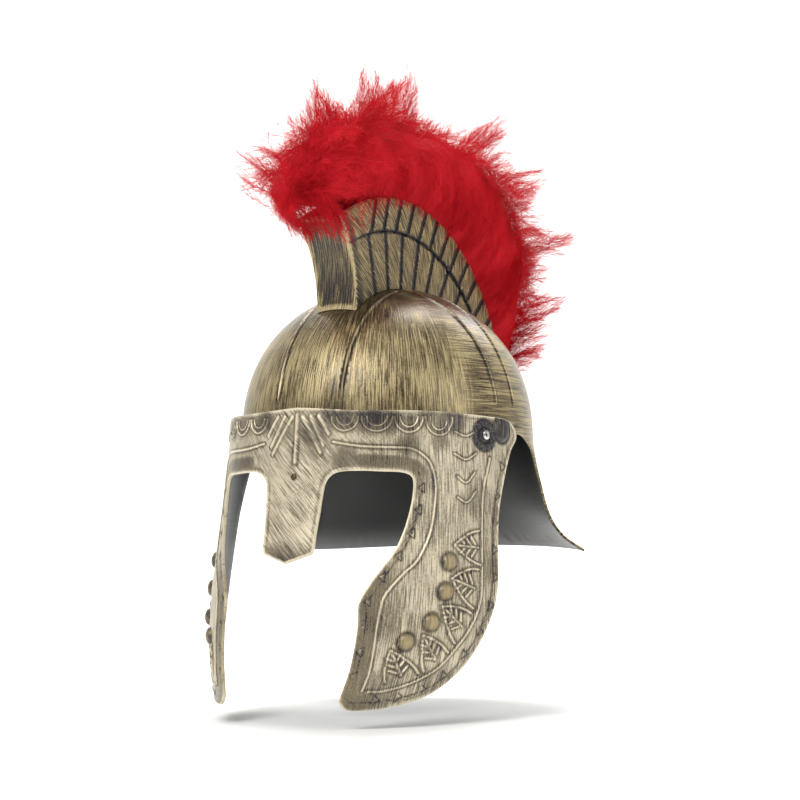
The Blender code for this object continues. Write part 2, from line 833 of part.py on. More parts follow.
def stretch_at(place):
    """How much wider the sheet is than its pattern at a place."""
    step = 0.001
    a = plate_surface(place.x - step, place.y)
    b = plate_surface(place.x + step, place.y)
    return (b - a).length / (2 * step)


def mirrored(points, sign):
    return [Vector((p.x * sign, p.y)) for p in points]


def line_stroke(rows, sign, width, height):
    places = [plate_place(*row) for row in rows]
    path = smooth_path(places, [False] * len(places), LINE_STEP)
    path = thinned(path, LINE_STEP)
    return Stroke(mirrored(path, sign), width, height)


def scallop_path(first, last, depth):
    """A half moon hung between two turns of the band's top edge."""
    a = plate_place(first, "band", 0.11)
    b = plate_place(last, "band", 0.11)
    path = []
    for i in range(7):
        turn = pi * i / 6
        x = (a.x + b.x) / 2 - cos(turn) * (b.x - a.x) / 2
        path.append(Vector((x, a.y - sin(turn) * BAND_HEIGHT * (depth - 0.11))))
    return path


def leaf_strokes(row):
    """A leaf's two curved sides, its rib and its side bars."""
    tip = plate_place(row[0], "cheek", row[1])
    upper = plate_place(row[2], "cheek", row[3])
    lower = plate_place(row[4], "cheek", row[5])
    root = (upper + lower) / 2
    rib = root - tip
    paths = []
    for corner in (upper, lower):
        side = corner - root
        bow = (corner + tip) / 2 + side * 0.38
        path = []
        for i in range(5):
            t = i / 4
            path.append(tip * (1 - t) ** 2 + bow * 2 * t * (1 - t) + corner * t * t)
        paths.append(path[:-1] + [path[-1].lerp(root, 0.12)])
        for share, reach in ((0.36, 0.46), (0.66, 0.52)):
            inner = tip + rib * (share + 0.06) + side * 0.14
            outer = tip + rib * (share - 0.10) + side * reach
            paths.append([inner, outer])
    paths.append([tip + rib * 0.12, tip + rib * 0.55, tip + rib * 0.95])
    return paths


def rosette_place():
    return plate_place(ROSETTE_TURN, "band", ROSETTE_DROP)


def plate_reliefs():
    reliefs = [line_stroke(CENTRE_LINE, 1, LINE_WIDTH * 1.3, LINE_HEIGHT * 1.3)]
    for sign in (1, -1):
        reliefs.append(line_stroke(EYE_LINE, sign, LINE_WIDTH, LINE_HEIGHT))
        reliefs.append(line_stroke(RIM_LINE, sign, LINE_WIDTH, LINE_HEIGHT))
        for rows in PALM_STROKES:
            reliefs.append(line_stroke(rows, sign, LINE_WIDTH * 1.4, LINE_HEIGHT))
        for rows in VINE_STROKES:
            reliefs.append(line_stroke(rows, sign, ORNAMENT_WIDTH, ORNAMENT_HEIGHT))
        for row in SCALLOPS:
            path = mirrored(scallop_path(*row), sign)
            reliefs.append(Stroke(path, ORNAMENT_WIDTH, ORNAMENT_HEIGHT))
        for row in LEAVES:
            for path in leaf_strokes(row):
                reliefs.append(Stroke(mirrored(path, sign), ORNAMENT_WIDTH, ORNAMENT_HEIGHT))
        for turn, drop in STUDS:
            place = plate_place(turn, "cheek", drop)
            stretch = stretch_at(place)
            place.x *= sign
            reliefs.append(Dome(place, STUD_RADIUS, STUD_HEIGHT, stretch, 8))
        for turn, zone, drop, turned in TEETH:
            place = plate_place(turn, zone, drop)
            place.x *= sign
            reliefs.append(Tooth(place, TOOTH_LENGTH, TOOTH_HEIGHT, turned * sign))
        place = rosette_place()
        stretch = stretch_at(place)
        centre = Vector((place.x * sign, place.y))
        boss = BOSS_RADIUS / 0.75
        reliefs.append(Dome(centre, boss, ROSETTE_HEIGHT, stretch, 12, flat=0.75))
        petal = (ROSETTE_RADIUS - boss) / 2
        for i in range(8):
            turn = 2 * pi * i / 8
            reach = boss + petal
            spot = Vector((cos(turn) * reach / stretch, sin(turn) * reach))
            reliefs.append(Dome(centre + spot, petal * 0.95, ROSETTE_HEIGHT * 0.8, stretch, 6))
    return reliefs


def band_edge_drop(turn_share):
    """Drop of the band's top edge at a turn share."""
    rows = [(row[0], row[2]) for row in PLATE_EDGE[:8]]
    return BAND_DROP + BAND_HEIGHT * table(rows, abs(turn_share))


def band_lip():
    """The flange that reaches from the band's top edge in to the dome."""
    count = 2 * round(LIP_REACH * QUARTER * PLATE_HALF_WIDTH / LINE_STEP)
    clearance = FIT_GAP + LINE_STEP**2 / (4 * HEAD_HALF_WIDTH)
    points = []
    for i in range(count + 1):
        share = LIP_REACH * (2 * i / count - 1)
        turn = share * QUARTER
        top = band_edge_drop(share) + 0.2 * LIP_THICKNESS
        for drop in (top, top + LIP_THICKNESS):
            width, reach = plate_axes(drop)
            near = PLATE_WALL / 2
            across = arc_power(sin(turn), PLATE_ROUNDNESS)
            forward = arc_power(cos(turn), PLATE_ROUNDNESS)
            points.append(
                Vector(((width - near) * across, -(reach - near) * forward, CROWN - drop))
            )
            half_width, front, rear = skull_axes(top + LIP_THICKNESS)
            across = arc_power(sin(turn), PLAN_ROUNDNESS)
            forward = arc_power(cos(turn), PLAN_ROUNDNESS)
            points.append(
                Vector((
                    (half_width + clearance) * across,
                    -(front + clearance) * forward,
                    CROWN - drop,
                ))
            )
    faces = [(0, 1, 3, 2)]
    for i in range(count):
        a = 4 * i
        b = a + 4
        faces.append((a, b, b + 1, a + 1))
        faces.append((a + 1, b + 1, b + 3, a + 3))
        faces.append((a + 3, b + 3, b + 2, a + 2))
        faces.append((a + 2, b + 2, b, a))
    last = 4 * count
    faces.append((last + 2, last + 3, last + 1, last))
    return mesh_object("band_lip", points, faces)


def face_plate():
    places = [plate_place(*row[:3]) for row in PLATE_EDGE]
    corners = [row[3] for row in PLATE_EDGE]
    left = thinned(smooth_path(places, corners, EDGE_STEP), EDGE_STEP)
    right = [Vector((-p.x, p.y)) for p in left[-2:0:-1]]
    outline = (left + right)[::-1]
    reliefs = plate_reliefs()
    piece = moulded_sheet(
        "face_plate",
        plate_surface,
        outline,
        PLATE_WALL,
        reliefs,
        EDGE_BEAD_HEIGHT,
        PLATE_STEP,
        seat_ring(Vector((0.0, -RIVET_DROP)), 1.6 * RIVET_HEAD_RADIUS),
    )
    lip = band_lip()
    turned_out(lip)
    combine(piece, lip, "UNION")
    finish(piece, "antique_bronze_plate", (0.55, 0.50, 0.36), 0.42, 0.45)
    return piece


def turned_out(piece):
    """Turn a closed shape's faces outwards."""
    shape = bmesh.new()
    shape.from_mesh(piece.data)
    bmesh.ops.recalc_face_normals(shape, faces=shape.faces)
    shape.to_mesh(piece.data)
    shape.free()


def lathed(name, profile, base, axis, sides):
    """A closed ring or knob: a profile of (radius, height) turned about an axis."""
    side = axis.orthogonal().normalized()
    other = axis.cross(side)
    points = []
    faces = []
    rings = []
    for radius, height in profile:
        if radius == 0:
            rings.append([len(points)] * sides)
            points.append(base + axis * height)
            continue
        ring = []
        for i in range(sides):
            turn = 2 * pi * i / sides
            ring.append(len(points))
            points.append(
                base + axis * height + (side * cos(turn) + other * sin(turn)) * radius
            )
        rings.append(ring)
    pairs = list(zip(rings, rings[1:], strict=False))
    if profile[0][0] > 0:
        pairs.append((rings[-1], rings[0]))
    for low, high in pairs:
        for i in range(sides):
            j = (i + 1) % sides
            corners = [low[i], low[j], high[j], high[i]]
            face = [c for k, c in enumerate(corners) if c != corners[k - 1]]
            faces.append(face)
    piece = mesh_object(name, points, faces)
    turned_out(piece)
    return piece


def temple_axis(sign):
    """Where an eyelet's axis crosses the plate's outer face, and its outward direction."""
    place = rosette_place()
    base = plate_surface(place.x * sign, place.y)
    return base, normal_at(plate_surface, place.x * sign, place.y)


def skull_level(point):
    """Below 1 inside the skull's outer face, above 1 outside it."""
    width, front, rear = skull_axes(CROWN - point.z)
    reach = front if point.y < 0 else rear
    return abs(point.x / width) ** PLAN_ROUNDNESS + abs(point.y / reach) ** PLAN_ROUNDNESS


def skull_depth(base, axis):
    """How far below the plate's outer face the axis meets the skull's outer face."""
    low, high = 0.0, 0.03
    for _ in range(40):
        middle = (low + high) / 2
        if skull_level(base - axis * middle) > 1:
            low = middle
        else:
            high = middle
    return high


def tail_depth(base, axis, rim):
    """How deep an eyelet's inner flange of a given radius sits to clear the skull's inner face."""
    depth = skull_depth(base, axis)
    point = base - axis * depth
    step = 0.0005
    slope = []
    for direction in (Vector((1, 0, 0)), Vector((0, 1, 0)), Vector((0, 0, 1))):
        rise = skull_level(point + direction * step) - skull_level(point - direction * step)
        slope.append(rise)
    lean = min(1.0, Vector(slope).normalized().dot(axis))
    return depth + SKULL_WALL / lean + rim * sqrt(1 - lean * lean) / lean + 2 * FIT_GAP


def temple_eyelet(name, sign):
    """A hollow eyelet through the rosette and the skull, rolled over inside."""
    base, axis = temple_axis(sign)
    head = ROSETTE_HEIGHT + FIT_GAP
    rim = EYELET_HEAD_RADIUS
    tail = tail_depth(base, axis, rim)
    profile = (
        (EYELET_BORE_RADIUS, head + EYELET_FLANGE * 0.5),
        (EYELET_BORE_RADIUS, -tail - EYELET_FLANGE),
        (rim * 0.9, -tail - EYELET_FLANGE),
        (rim * 0.9, -tail),
        (EYELET_SHANK_RADIUS, -tail),
        (EYELET_SHANK_RADIUS, head),
        (rim, head),
        (rim * 0.95, head + EYELET_FLANGE * 0.7),
        (rim * 0.7, head + EYELET_FLANGE),
    )
    piece = lathed(name, profile, base, axis, ROUND_SIDES)
    finish(piece, name + "_chrome", (0.80, 0.80, 0.82), 0.15, 1.0)
    return piece


def brow_axis():
    place = Vector((0.0, -RIVET_DROP))
    base = plate_surface(place.x, place.y)
    return base, normal_at(plate_surface, place.x, place.y)


def brow_rivet():
    """A small round-headed rivet that pins the brow of the plate to the skull's tongue."""
    base, axis = brow_axis()
    head = FIT_GAP
    rim = RIVET_HEAD_RADIUS
    tail = tail_depth(base, axis, rim)
    profile = (
        (0.0, -tail - RIVET_HEAD_HEIGHT),
        (rim * 0.8, -tail - RIVET_HEAD_HEIGHT),
        (rim * 0.9, -tail),
        (RIVET_SHANK_RADIUS, -tail),
        (RIVET_SHANK_RADIUS, head),
        (rim, head),
        (rim * 0.75, head + RIVET_HEAD_HEIGHT * 0.75),
        (0.0, head + RIVET_HEAD_HEIGHT),
    )
    piece = lathed("brow_rivet", profile, base, axis, ROUND_SIDES)
    finish(piece, "antique_bronze_rivet", (0.55, 0.46, 0.28), 0.30, 0.7)
    return piece


def fasteners():
    """Base, axis and head radius of both temple eyelets and of the brow rivet."""
    return (
        (*temple_axis(1), EYELET_HEAD_RADIUS),
        (*temple_axis(-1), EYELET_HEAD_RADIUS),
        (*brow_axis(), RIVET_HEAD_RADIUS),
    )


def drilled(piece, base, axis, radius):
    """Cut a round hole through a piece along an axis."""
    depth = PLATE_WALL + TEMPLE_GAP + SKULL_WALL + BROW_GAP
    profile = ((0.0, -depth), (radius, -depth), (radius, depth), (0.0, depth))
    drill = lathed("drill", profile, base, axis, ROUND_SIDES)
    combine(piece, drill, "DIFFERENCE")


# The crest is drawn in side view: a turn from the vertical about the centre of its top arc,
# and a distance from that centre.
CREST_RADIUS = CREST_HEIGHT + CREST_ARC_DROP
TIER_RADIUS = CREST_HEIGHT - TIER_HEIGHT + TIER_ARC_DROP


def crest_point(turn, radius):
    """Side view place on a ring about the crest's centre, turn in degrees from the top."""
    a = radians(turn)
    return Vector((CREST_ARC_BACK + radius * sin(a), CROWN - CREST_ARC_DROP + radius * cos(a)))


def tier_point(turn, radius):
    a = radians(turn)
    return Vector((TIER_ARC_BACK + radius * sin(a), CROWN - TIER_ARC_DROP + radius * cos(a)))


def crest_front(height, inset):
    """Front face's place in side view at a share of its height, set in by a wall."""
    low = CROWN - 0.022
    lean = max(height, 0.0) ** 2.6
    y = -CREST_FRONT - CREST_LEAN * lean + inset
    return Vector((y, low + (CREST_HEIGHT + 0.002) * height))


def arc_turns(first, last):
    """Turns at which every arc along the crest has its points, so that one lies evenly in another."""
    inner = [i * ARC_PITCH for i in range(-20, 21) if first + 1 < i * ARC_PITCH < last - 1]
    return [first] + inner + [last]


def crest_profile(top_radius, inset, low_radius, rear_turn):
    """Side view of the crest or its cavity, counted from the front's foot, over the top."""
    profile = []
    centre = crest_point(0, 0)
    for i in range(9):
        point = crest_front(-0.35 + i * 0.17, inset)
        if (point - centre).length < top_radius - 0.001:
            profile.append(point)
    first = profile[-1] - centre
    turns = arc_turns(degrees(atan2(first.x, first.y)) - 0.9, rear_turn)
    profile += [crest_point(turn, top_radius) for turn in turns]
    for i in range(9):
        profile.append(crest_point(rear_turn + (-40 - rear_turn) * i / 8, low_radius))
    return profile


def leaned(across, place):
    """Place across the helmet of a point of the crest, whose sides lean out as they rise."""
    rise = (place.y - CROWN) / CREST_HEIGHT
    return Vector((across * (1 + CREST_TAPER * rise), place.x, place.y))


def extruded(name, profile, left, right):
    """A block with a side view profile, between two places across the helmet."""
    count = len(profile)
    points = [leaned(across, p) for across in (left, right) for p in profile]
    faces = [tuple(range(count)), tuple(range(2 * count - 1, count - 1, -1))]
    for i in range(count):
        j = (i + 1) % count
        faces.append((i, i + count, j + count, j))
    piece = mesh_object(name, points, faces)
    turned_out(piece)
    return piece


def dome_cutter(half_width, clearance):
    """The dome's own body under the crest, grown by a clearance."""
    columns = (-1, -1 / 3, 1 / 3, 1)
    pitch = 5.5
    turns = [-50 + pitch * i for i in range(27)]
    along = radians(pitch) * HEAD_REAR
    across = 2 * half_width / 3
    clearance += (along**2 + across**2) / (8 * HEAD_HALF_WIDTH)
    top = []
    for turn in turns:
        for column in columns:
            x = column * half_width
            low, high = 0.3 * DOME_HEIGHT, 2 * DOME_HEIGHT
            for _ in range(40):
                radius = (low + high) / 2
                y, z = crest_point(turn, radius)
                reach = HEAD_FRONT if y < 0 else HEAD_REAR
                ring = abs(x / HEAD_HALF_WIDTH) ** PLAN_ROUNDNESS + abs(y / reach) ** PLAN_ROUNDNESS
                level = ring ** (DOME_ROUNDNESS / PLAN_ROUNDNESS)
                rise = max(0.0, 1 - (CROWN - z) / DOME_HEIGHT) ** DOME_ROUNDNESS
                if level + rise < 1:
                    low = radius
                else:
                    high = radius
            y, z = crest_point(turn, high + clearance)
            top.append(Vector((x, y, z)))
    centre = crest_point(0, 0)
    middle = Vector((0, centre.x, centre.y))
    under = [Vector((p.x, *(middle.lerp(p, 0.55))[1:])) for p in top]
    rows = len(turns)
    wide = len(columns)
    half = rows * wide
    faces = []
    for i in range(rows - 1):
        for j in range(wide - 1):
            a = i * wide + j
            faces.append((a, a + 1, a + wide + 1, a + wide))
            faces.append((half + a + wide, half + a + wide + 1, half + a + 1, half + a))
        for a in (i * wide, i * wide + wide - 1):
            faces.append((a, a + wide, half + a + wide, half + a))
    for row in (0, (rows - 1) * wide):
        for j in range(wide - 1):
            a = row + j
            faces.append((a, a + 1, half + a + 1, half + a))
    piece = mesh_object("dome_cutter", top + under, faces)
    turned_out(piece)
    return piece


def rib_groove(inner, outer, width, near, far):
    """One groove's cutter on both sides of the crest: a bar between two side view places."""
    along = (outer - inner).normalized()
    side = Vector((-along.y, along.x)) * width / 2
    corners = [inner - side, inner + side, outer + side, outer - side]
    bars = []
    for sign in (1, -1):
        points = [leaned(sign * x, p) for x in (near, far) for p in corners]
        faces = [(0, 1, 2, 3), (7, 6, 5, 4)]
        faces += [(i, i + 4, (i + 1) % 4 + 4, (i + 1) % 4) for i in range(4)]
        bars.append((points, faces))
    return bars


def groove_cutter():
    """All the grooves between the ribs of both tiers, as one cutter."""
    points = []
    faces = []
    half = CREST_WIDTH / 2
    over = half + CREST_TIER_STEP
    bars = []
    turn = FIRST_RIB_TURN
    while turn < CREST_REAR_TURN - 3:
        inner = tier_point(turn - 1.5, TIER_RADIUS + 0.0006)
        outer = crest_point(turn, CREST_RADIUS + 0.003)
        bars += rib_groove(inner, outer, RIB_GROOVE_WIDTH, over - RIB_GROOVE_DEPTH, over + 0.004)
        turn += UPPER_RIB_PITCH
    turn = FIRST_RIB_TURN - 2.4
    while turn < CREST_REAR_TURN - 6:
        inner = tier_point(turn, TIER_RADIUS - 0.044)
        outer = tier_point(turn, TIER_RADIUS - 0.0006)
        bars += rib_groove(inner, outer, RIB_GROOVE_WIDTH, half - RIB_GROOVE_DEPTH, half + 0.0003)
        turn += LOWER_RIB_PITCH
    for corners, sides in bars:
        first = len(points)
        points += corners
        faces += [tuple(first + i for i in side) for side in sides]
    piece = mesh_object("groove_cutter", points, faces)
    turned_out(piece)
    return piece


def below_tier():
    """Side view of all that lies under the arc between the two tiers."""
    count = 26
    over = [tier_point(-60 + 150 * i / count, TIER_RADIUS) for i in range(count + 1)]
    under = [tier_point(90 - 150 * i / count, TIER_RADIUS * 0.3) for i in range(count + 1)]
    return over + under


def crest_holder():
    half = CREST_WIDTH / 2
    low = CREST_ARC_DROP - 0.022
    over = half + CREST_TIER_STEP
    profile = crest_profile(CREST_RADIUS, 0.0, low, CREST_REAR_TURN)
    piece = extruded("crest_holder", profile, -over, over)
    for sign in (1, -1):
        slab = extruded("slab", below_tier(), sign * half, sign * CREST_WIDTH)
        combine(piece, slab, "DIFFERENCE")
    wall_turn = degrees(CREST_WALL / CREST_RADIUS)
    floor = CREST_RADIUS - CHANNEL_DEPTH
    rear = CREST_REAR_TURN - wall_turn
    cavity = crest_profile(floor - CREST_WALL, CREST_WALL, low - 0.01, rear)
    inner = half - CREST_WALL
    combine(piece, extruded("cavity", cavity, -inner, inner), "DIFFERENCE")
    channel = channel_profile(CREST_WALL, floor, CREST_RADIUS + 2 * CREST_WALL)
    inner = over - CREST_WALL
    combine(piece, extruded("channel", channel, -inner, inner), "DIFFERENCE")
    combine(piece, dome_cutter(CREST_WIDTH * 0.6, FIT_GAP), "DIFFERENCE")
    combine(piece, groove_cutter(), "DIFFERENCE")
    finish(piece, "antique_bronze_crest", (0.40, 0.35, 0.24), 0.45, 0.45)
    return piece


def channel_profile(inset, floor, top):
    """Side view of the plume's channel, or of the root in it, between the end walls."""
    inset_turn = degrees(inset / CREST_RADIUS)
    front = degrees(atan2(-CREST_FRONT - CREST_LEAN * 0.8, CREST_RADIUS)) + inset_turn
    rear = CREST_REAR_TURN - inset_turn
    turns = arc_turns(front, rear)
    return [crest_point(turn, top) for turn in turns] + [
        crest_point(turn, floor) for turn in reversed(turns)
    ]


def plume_core():
    """The plume's backing: an oval body along the crest, drawn in at both ends."""
    sides = 10
    stations = 15
    points = []
    faces = []
    for i in range(1, stations):
        share = i / stations
        turn = PLUME_FRONT_TURN + (PLUME_REAR_TURN - PLUME_FRONT_TURN) * share
        bulk = (1 - abs(2 * share - 1) ** 3.2) ** 0.5
        middle = crest_point(turn, CREST_RADIUS + PLUME_SEAT)
        up = radians(turn)
        for j in range(sides):
            around = 2 * pi * (j + 0.5) / sides
            across = PLUME_HALF_WIDTH * bulk * cos(around)
            rise = PLUME_HALF_DEPTH * bulk * sin(around)
            points.append(Vector((across, middle.x + rise * sin(up), middle.y + rise * cos(up))))
    rings = stations - 1
    for i in range(rings - 1):
        for j in range(sides):
            k = (j + 1) % sides
            a = i * sides
            faces.append((a + j, a + k, a + sides + k, a + sides + j))
    for turn, ring in ((PLUME_FRONT_TURN, 0), (PLUME_REAR_TURN, rings - 1)):
        end = crest_point(turn, CREST_RADIUS + PLUME_SEAT)
        points.append(Vector((0, end.x, end.y)))
        for j in range(sides):
            faces.append((ring * sides + j, ring * sides + (j + 1) % sides, len(points) - 1))
    piece = mesh_object("plume", points, faces)
    turned_out(piece)
    return piece


def plume_lock(turn, lean, reach):
    """One tapered lock that curls from the backing's heart to its tip."""
    heart = crest_point(turn, CREST_RADIUS + PLUME_SEAT * 0.6)
    base = Vector((0, heart.x, heart.y))
    up = Vector((0, sin(radians(turn)), cos(radians(turn))))
    out = (up * cos(radians(lean)) + Vector((1, 0, 0)) * sin(radians(lean))).normalized()
    back = Vector((0, cos(radians(turn)), -sin(radians(turn))))
    along = out * (reach * PLUME_LOCK - PLUME_SEAT * 0.6 * cos(radians(lean)))
    sides = 5
    shares = (0.12, 0.45, 0.74, 0.93)
    widths = (0.9, 1.0, 0.66, 0.26)
    across = out.orthogonal().normalized()
    other = out.cross(across)
    points = []
    faces = []
    for share, width in zip(shares, widths, strict=True):
        curl = back * 0.10 * PLUME_LOCK * sin(pi * share)
        middle = base + along * share + curl
        for j in range(sides):
            around = 2 * pi * j / sides
            spoke = across * cos(around) + other * sin(around)
            points.append(middle + spoke * PLUME_LOCK_RADIUS * width)
    for i in range(len(shares) - 1):
        for j in range(sides):
            k = (j + 1) % sides
            a = i * sides
            faces.append((a + j, a + k, a + sides + k, a + sides + j))
    faces.append(tuple(range(sides)))
    points.append(base + along)
    last = (len(shares) - 1) * sides
    for j in range(sides):
        faces.append((last + j, last + (j + 1) % sides, len(points) - 1))
    piece = mesh_object("lock", points, faces)
    turned_out(piece)
    return piece


def plume():
    piece = plume_core()
    locks = list(TUFTS)
    for lean, length, first in LOCK_ROWS:
        turn = first
        while turn < PLUME_REAR_TURN - 6:
            locks.append((turn, lean, length))
            turn += LOCK_PITCH
    for turn, lean, length in locks:
        combine(piece, plume_lock(turn, lean, length), "UNION")
    low = CREST_ARC_DROP - 0.022
    envelope = crest_profile(CREST_RADIUS + FIT_GAP, -FIT_GAP, low, CREST_REAR_TURN + 0.2)
    side = CREST_WIDTH / 2 + CREST_TIER_STEP + FIT_GAP
    block = extruded("block", envelope, -side, side)
    combine(piece, block, "DIFFERENCE")
    combine(piece, dome_cutter(PLUME_HALF_WIDTH * 1.6, 4 * FIT_GAP), "DIFFERENCE")
    floor = CREST_RADIUS - CHANNEL_DEPTH + FIT_GAP
    root = channel_profile(CREST_WALL + FIT_GAP, floor, CREST_RADIUS + PLUME_SEAT / 2)
    side = CREST_WIDTH / 2 + CREST_TIER_STEP - CREST_WALL - FIT_GAP
    tongue = extruded("tongue", root, -side, side)
    combine(piece, tongue, "UNION")
    finish(piece, "red_feathers", (0.55, 0.01, 0.03), 0.9, 0.0)
    return piece


def build():
    dome = skull()
    plate = face_plate()
    for name, sign in (("temple_eyelet_left", 1), ("temple_eyelet_right", -1)):
        base, axis = temple_axis(sign)
        for piece in (dome, plate):
            drilled(piece, base, axis, EYELET_SHANK_RADIUS + FIT_GAP)
        temple_eyelet(name, sign)
    base, axis = brow_axis()
    for piece in (dome, plate):
        drilled(piece, base, axis, RIVET_SHANK_RADIUS + FIT_GAP)
    brow_rivet()
    holder = crest_holder()
    feathers = plume()
    for piece in (dome, plate, holder, feathers):
        cleaned(piece)


build()
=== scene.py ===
# %% [markdown]
# # A legionary's costume helmet
# The real thing is three pieces moulded in black plastic, dry-brushed in antique bronze and
# topped with red down feathers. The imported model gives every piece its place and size, so
# this lesson only dresses it: it never moves a part of the frame.

# %% Load the frame
from math import atan, atan2, cos, degrees, pi, radians, sin, sqrt

import bpy
import numpy as np
from mathutils import Matrix, Vector, kdtree
from mathutils.geometry import delaunay_2d_cdt


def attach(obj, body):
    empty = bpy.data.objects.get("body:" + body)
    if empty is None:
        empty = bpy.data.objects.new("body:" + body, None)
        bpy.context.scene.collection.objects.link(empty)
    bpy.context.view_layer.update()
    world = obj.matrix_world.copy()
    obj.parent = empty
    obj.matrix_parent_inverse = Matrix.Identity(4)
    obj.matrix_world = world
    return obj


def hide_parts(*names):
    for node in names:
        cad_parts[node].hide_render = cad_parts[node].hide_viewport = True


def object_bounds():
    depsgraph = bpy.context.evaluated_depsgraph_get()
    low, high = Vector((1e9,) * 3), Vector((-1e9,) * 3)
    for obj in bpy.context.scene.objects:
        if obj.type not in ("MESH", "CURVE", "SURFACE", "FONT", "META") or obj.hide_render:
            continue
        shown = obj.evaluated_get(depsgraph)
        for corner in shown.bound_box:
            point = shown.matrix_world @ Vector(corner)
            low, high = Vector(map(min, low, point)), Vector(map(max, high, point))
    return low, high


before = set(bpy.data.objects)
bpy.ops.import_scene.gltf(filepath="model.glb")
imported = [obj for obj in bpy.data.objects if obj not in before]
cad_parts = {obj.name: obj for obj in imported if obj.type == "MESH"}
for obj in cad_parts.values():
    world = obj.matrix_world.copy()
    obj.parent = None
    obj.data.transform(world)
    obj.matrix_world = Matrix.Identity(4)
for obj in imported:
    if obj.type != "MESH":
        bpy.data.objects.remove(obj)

cad_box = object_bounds()
MM = 0.001
QUARTER = pi / 2
print("nodes:", sorted(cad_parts))

# %% [markdown]
# ## Camera, floor and light
# The photograph looks at the helmet from its left front, a little from below the brow, with a
# long lens. A pale sweep stands for the studio table, and big soft lights keep the shadows weak.

# %% Place the camera
AZIMUTH = 30.0
# The photograph's horizon is this far below its middle, and its eye this far before it.
HORIZON_PIXELS, EYE_PIXELS = 135, 1933
PITCH = atan(HORIZON_PIXELS / EYE_PIXELS)
LENS_MM, SENSOR_MM = 87.0, 36.0
CAMERA_PLACE = Vector((0.6730, -1.1472, -0.1666))


def placed(name, data):
    """A new object of the scene that holds the given data."""
    thing = bpy.data.objects.new(name, data)
    bpy.context.collection.objects.link(thing)
    return thing


ahead = Vector((-sin(radians(AZIMUTH)), cos(radians(AZIMUTH)), 0))
right = Vector((ahead.y, -ahead.x, 0))
forward = ahead * cos(PITCH) + Vector((0, 0, sin(PITCH)))
upward = right.cross(forward)
camera = placed("camera", bpy.data.cameras.new("camera"))
camera.data.lens = LENS_MM
camera.data.sensor_width = SENSOR_MM
stance = Matrix((right, upward, -forward)).transposed()
camera.matrix_world = Matrix.Translation(CAMERA_PLACE) @ stance.to_4x4()
bpy.context.scene.camera = camera
print("camera", [round(c, 3) for c in CAMERA_PLACE])


# %% Colours, nodes and materials
def linear(hex_colour):
    """A linear colour with full alpha from an sRGB hex value."""
    values = [int(hex_colour[i : i + 2], 16) / 255 for i in (1, 3, 5)]
    curve = [v / 12.92 if v <= 0.04045 else ((v + 0.055) / 1.055) ** 2.4 for v in values]
    return (*curve, 1.0)


def add_node(tree, kind, values=None, links=None, **settings):
    """Add one node with its settings, its sockets' values and its links."""
    node = tree.nodes.new(kind)
    for name, value in settings.items():
        setattr(node, name, value)
    for socket, value in (values or {}).items():
        node.inputs[socket].default_value = value
    for socket, source in (links or {}).items():
        tree.links.new(source, node.inputs[socket])
    return node


def new_material(name, values):
    """A material with its tree and its Principled shader, which takes the given values."""
    material = bpy.data.materials.new(name)
    material.use_nodes = True
    tree = material.node_tree
    shader = tree.nodes["Principled BSDF"]
    for socket, value in values.items():
        shader.inputs[socket].default_value = value
    return material, tree, shader


print("white is", linear("#FFFFFF"))

# %% Lay the floor and hang the lights
FLOOR_DROP = 0.012
SWEEP_BACK = 2.2
SWEEP_RADIUS = 0.8
SWEEP_FRONT, SWEEP_TOP, SWEEP_HALF_WIDTH = 3.0, 4.0, 4.0
SWEEP_STEPS = 12

low, high = cad_box
floor_level = low[2] - FLOOR_DROP
profile = [(-SWEEP_FRONT, 0.0), (SWEEP_BACK - SWEEP_RADIUS, 0.0)]
for i in range(1, SWEEP_STEPS + 1):
    turn = QUARTER * i / SWEEP_STEPS
    profile.append((
        SWEEP_BACK - SWEEP_RADIUS + SWEEP_RADIUS * sin(turn),
        SWEEP_RADIUS * (1 - cos(turn)),
    ))
profile.append((SWEEP_BACK, SWEEP_TOP))
sweep_points = []
sweep_faces = []
for side in (-SWEEP_HALF_WIDTH, SWEEP_HALF_WIDTH):
    for away, rise in profile:
        spot = ahead * away + right * side
        sweep_points.append((spot.x, spot.y, floor_level + rise))
for i in range(len(profile) - 1):
    sweep_faces.append((i, i + 1, i + 1 + len(profile), i + len(profile)))
floor_mesh = bpy.data.meshes.new("studio_sweep")
floor_mesh.from_pydata(sweep_points, [], [face[::-1] for face in sweep_faces])
floor_mesh.shade_smooth()
floor = placed("studio_sweep", floor_mesh)
# Matt white card: it fills the picture with an even pale tone.
card, tree, shader = new_material("white_card", {"Base Color": linear("#F4F4F2"), "Roughness": 0.9})
floor_mesh.materials.append(card)

world = bpy.data.worlds.new("studio")
world.use_nodes = True
background = world.node_tree.nodes["Background"]
background.inputs["Color"].default_value = linear("#FFFFFF")
background.inputs["Strength"].default_value = 0.46
bpy.context.scene.world = world
# A product picture keeps its white card white, so the plain sRGB view shows the colours.
bpy.context.scene.view_settings.view_transform = "Standard"

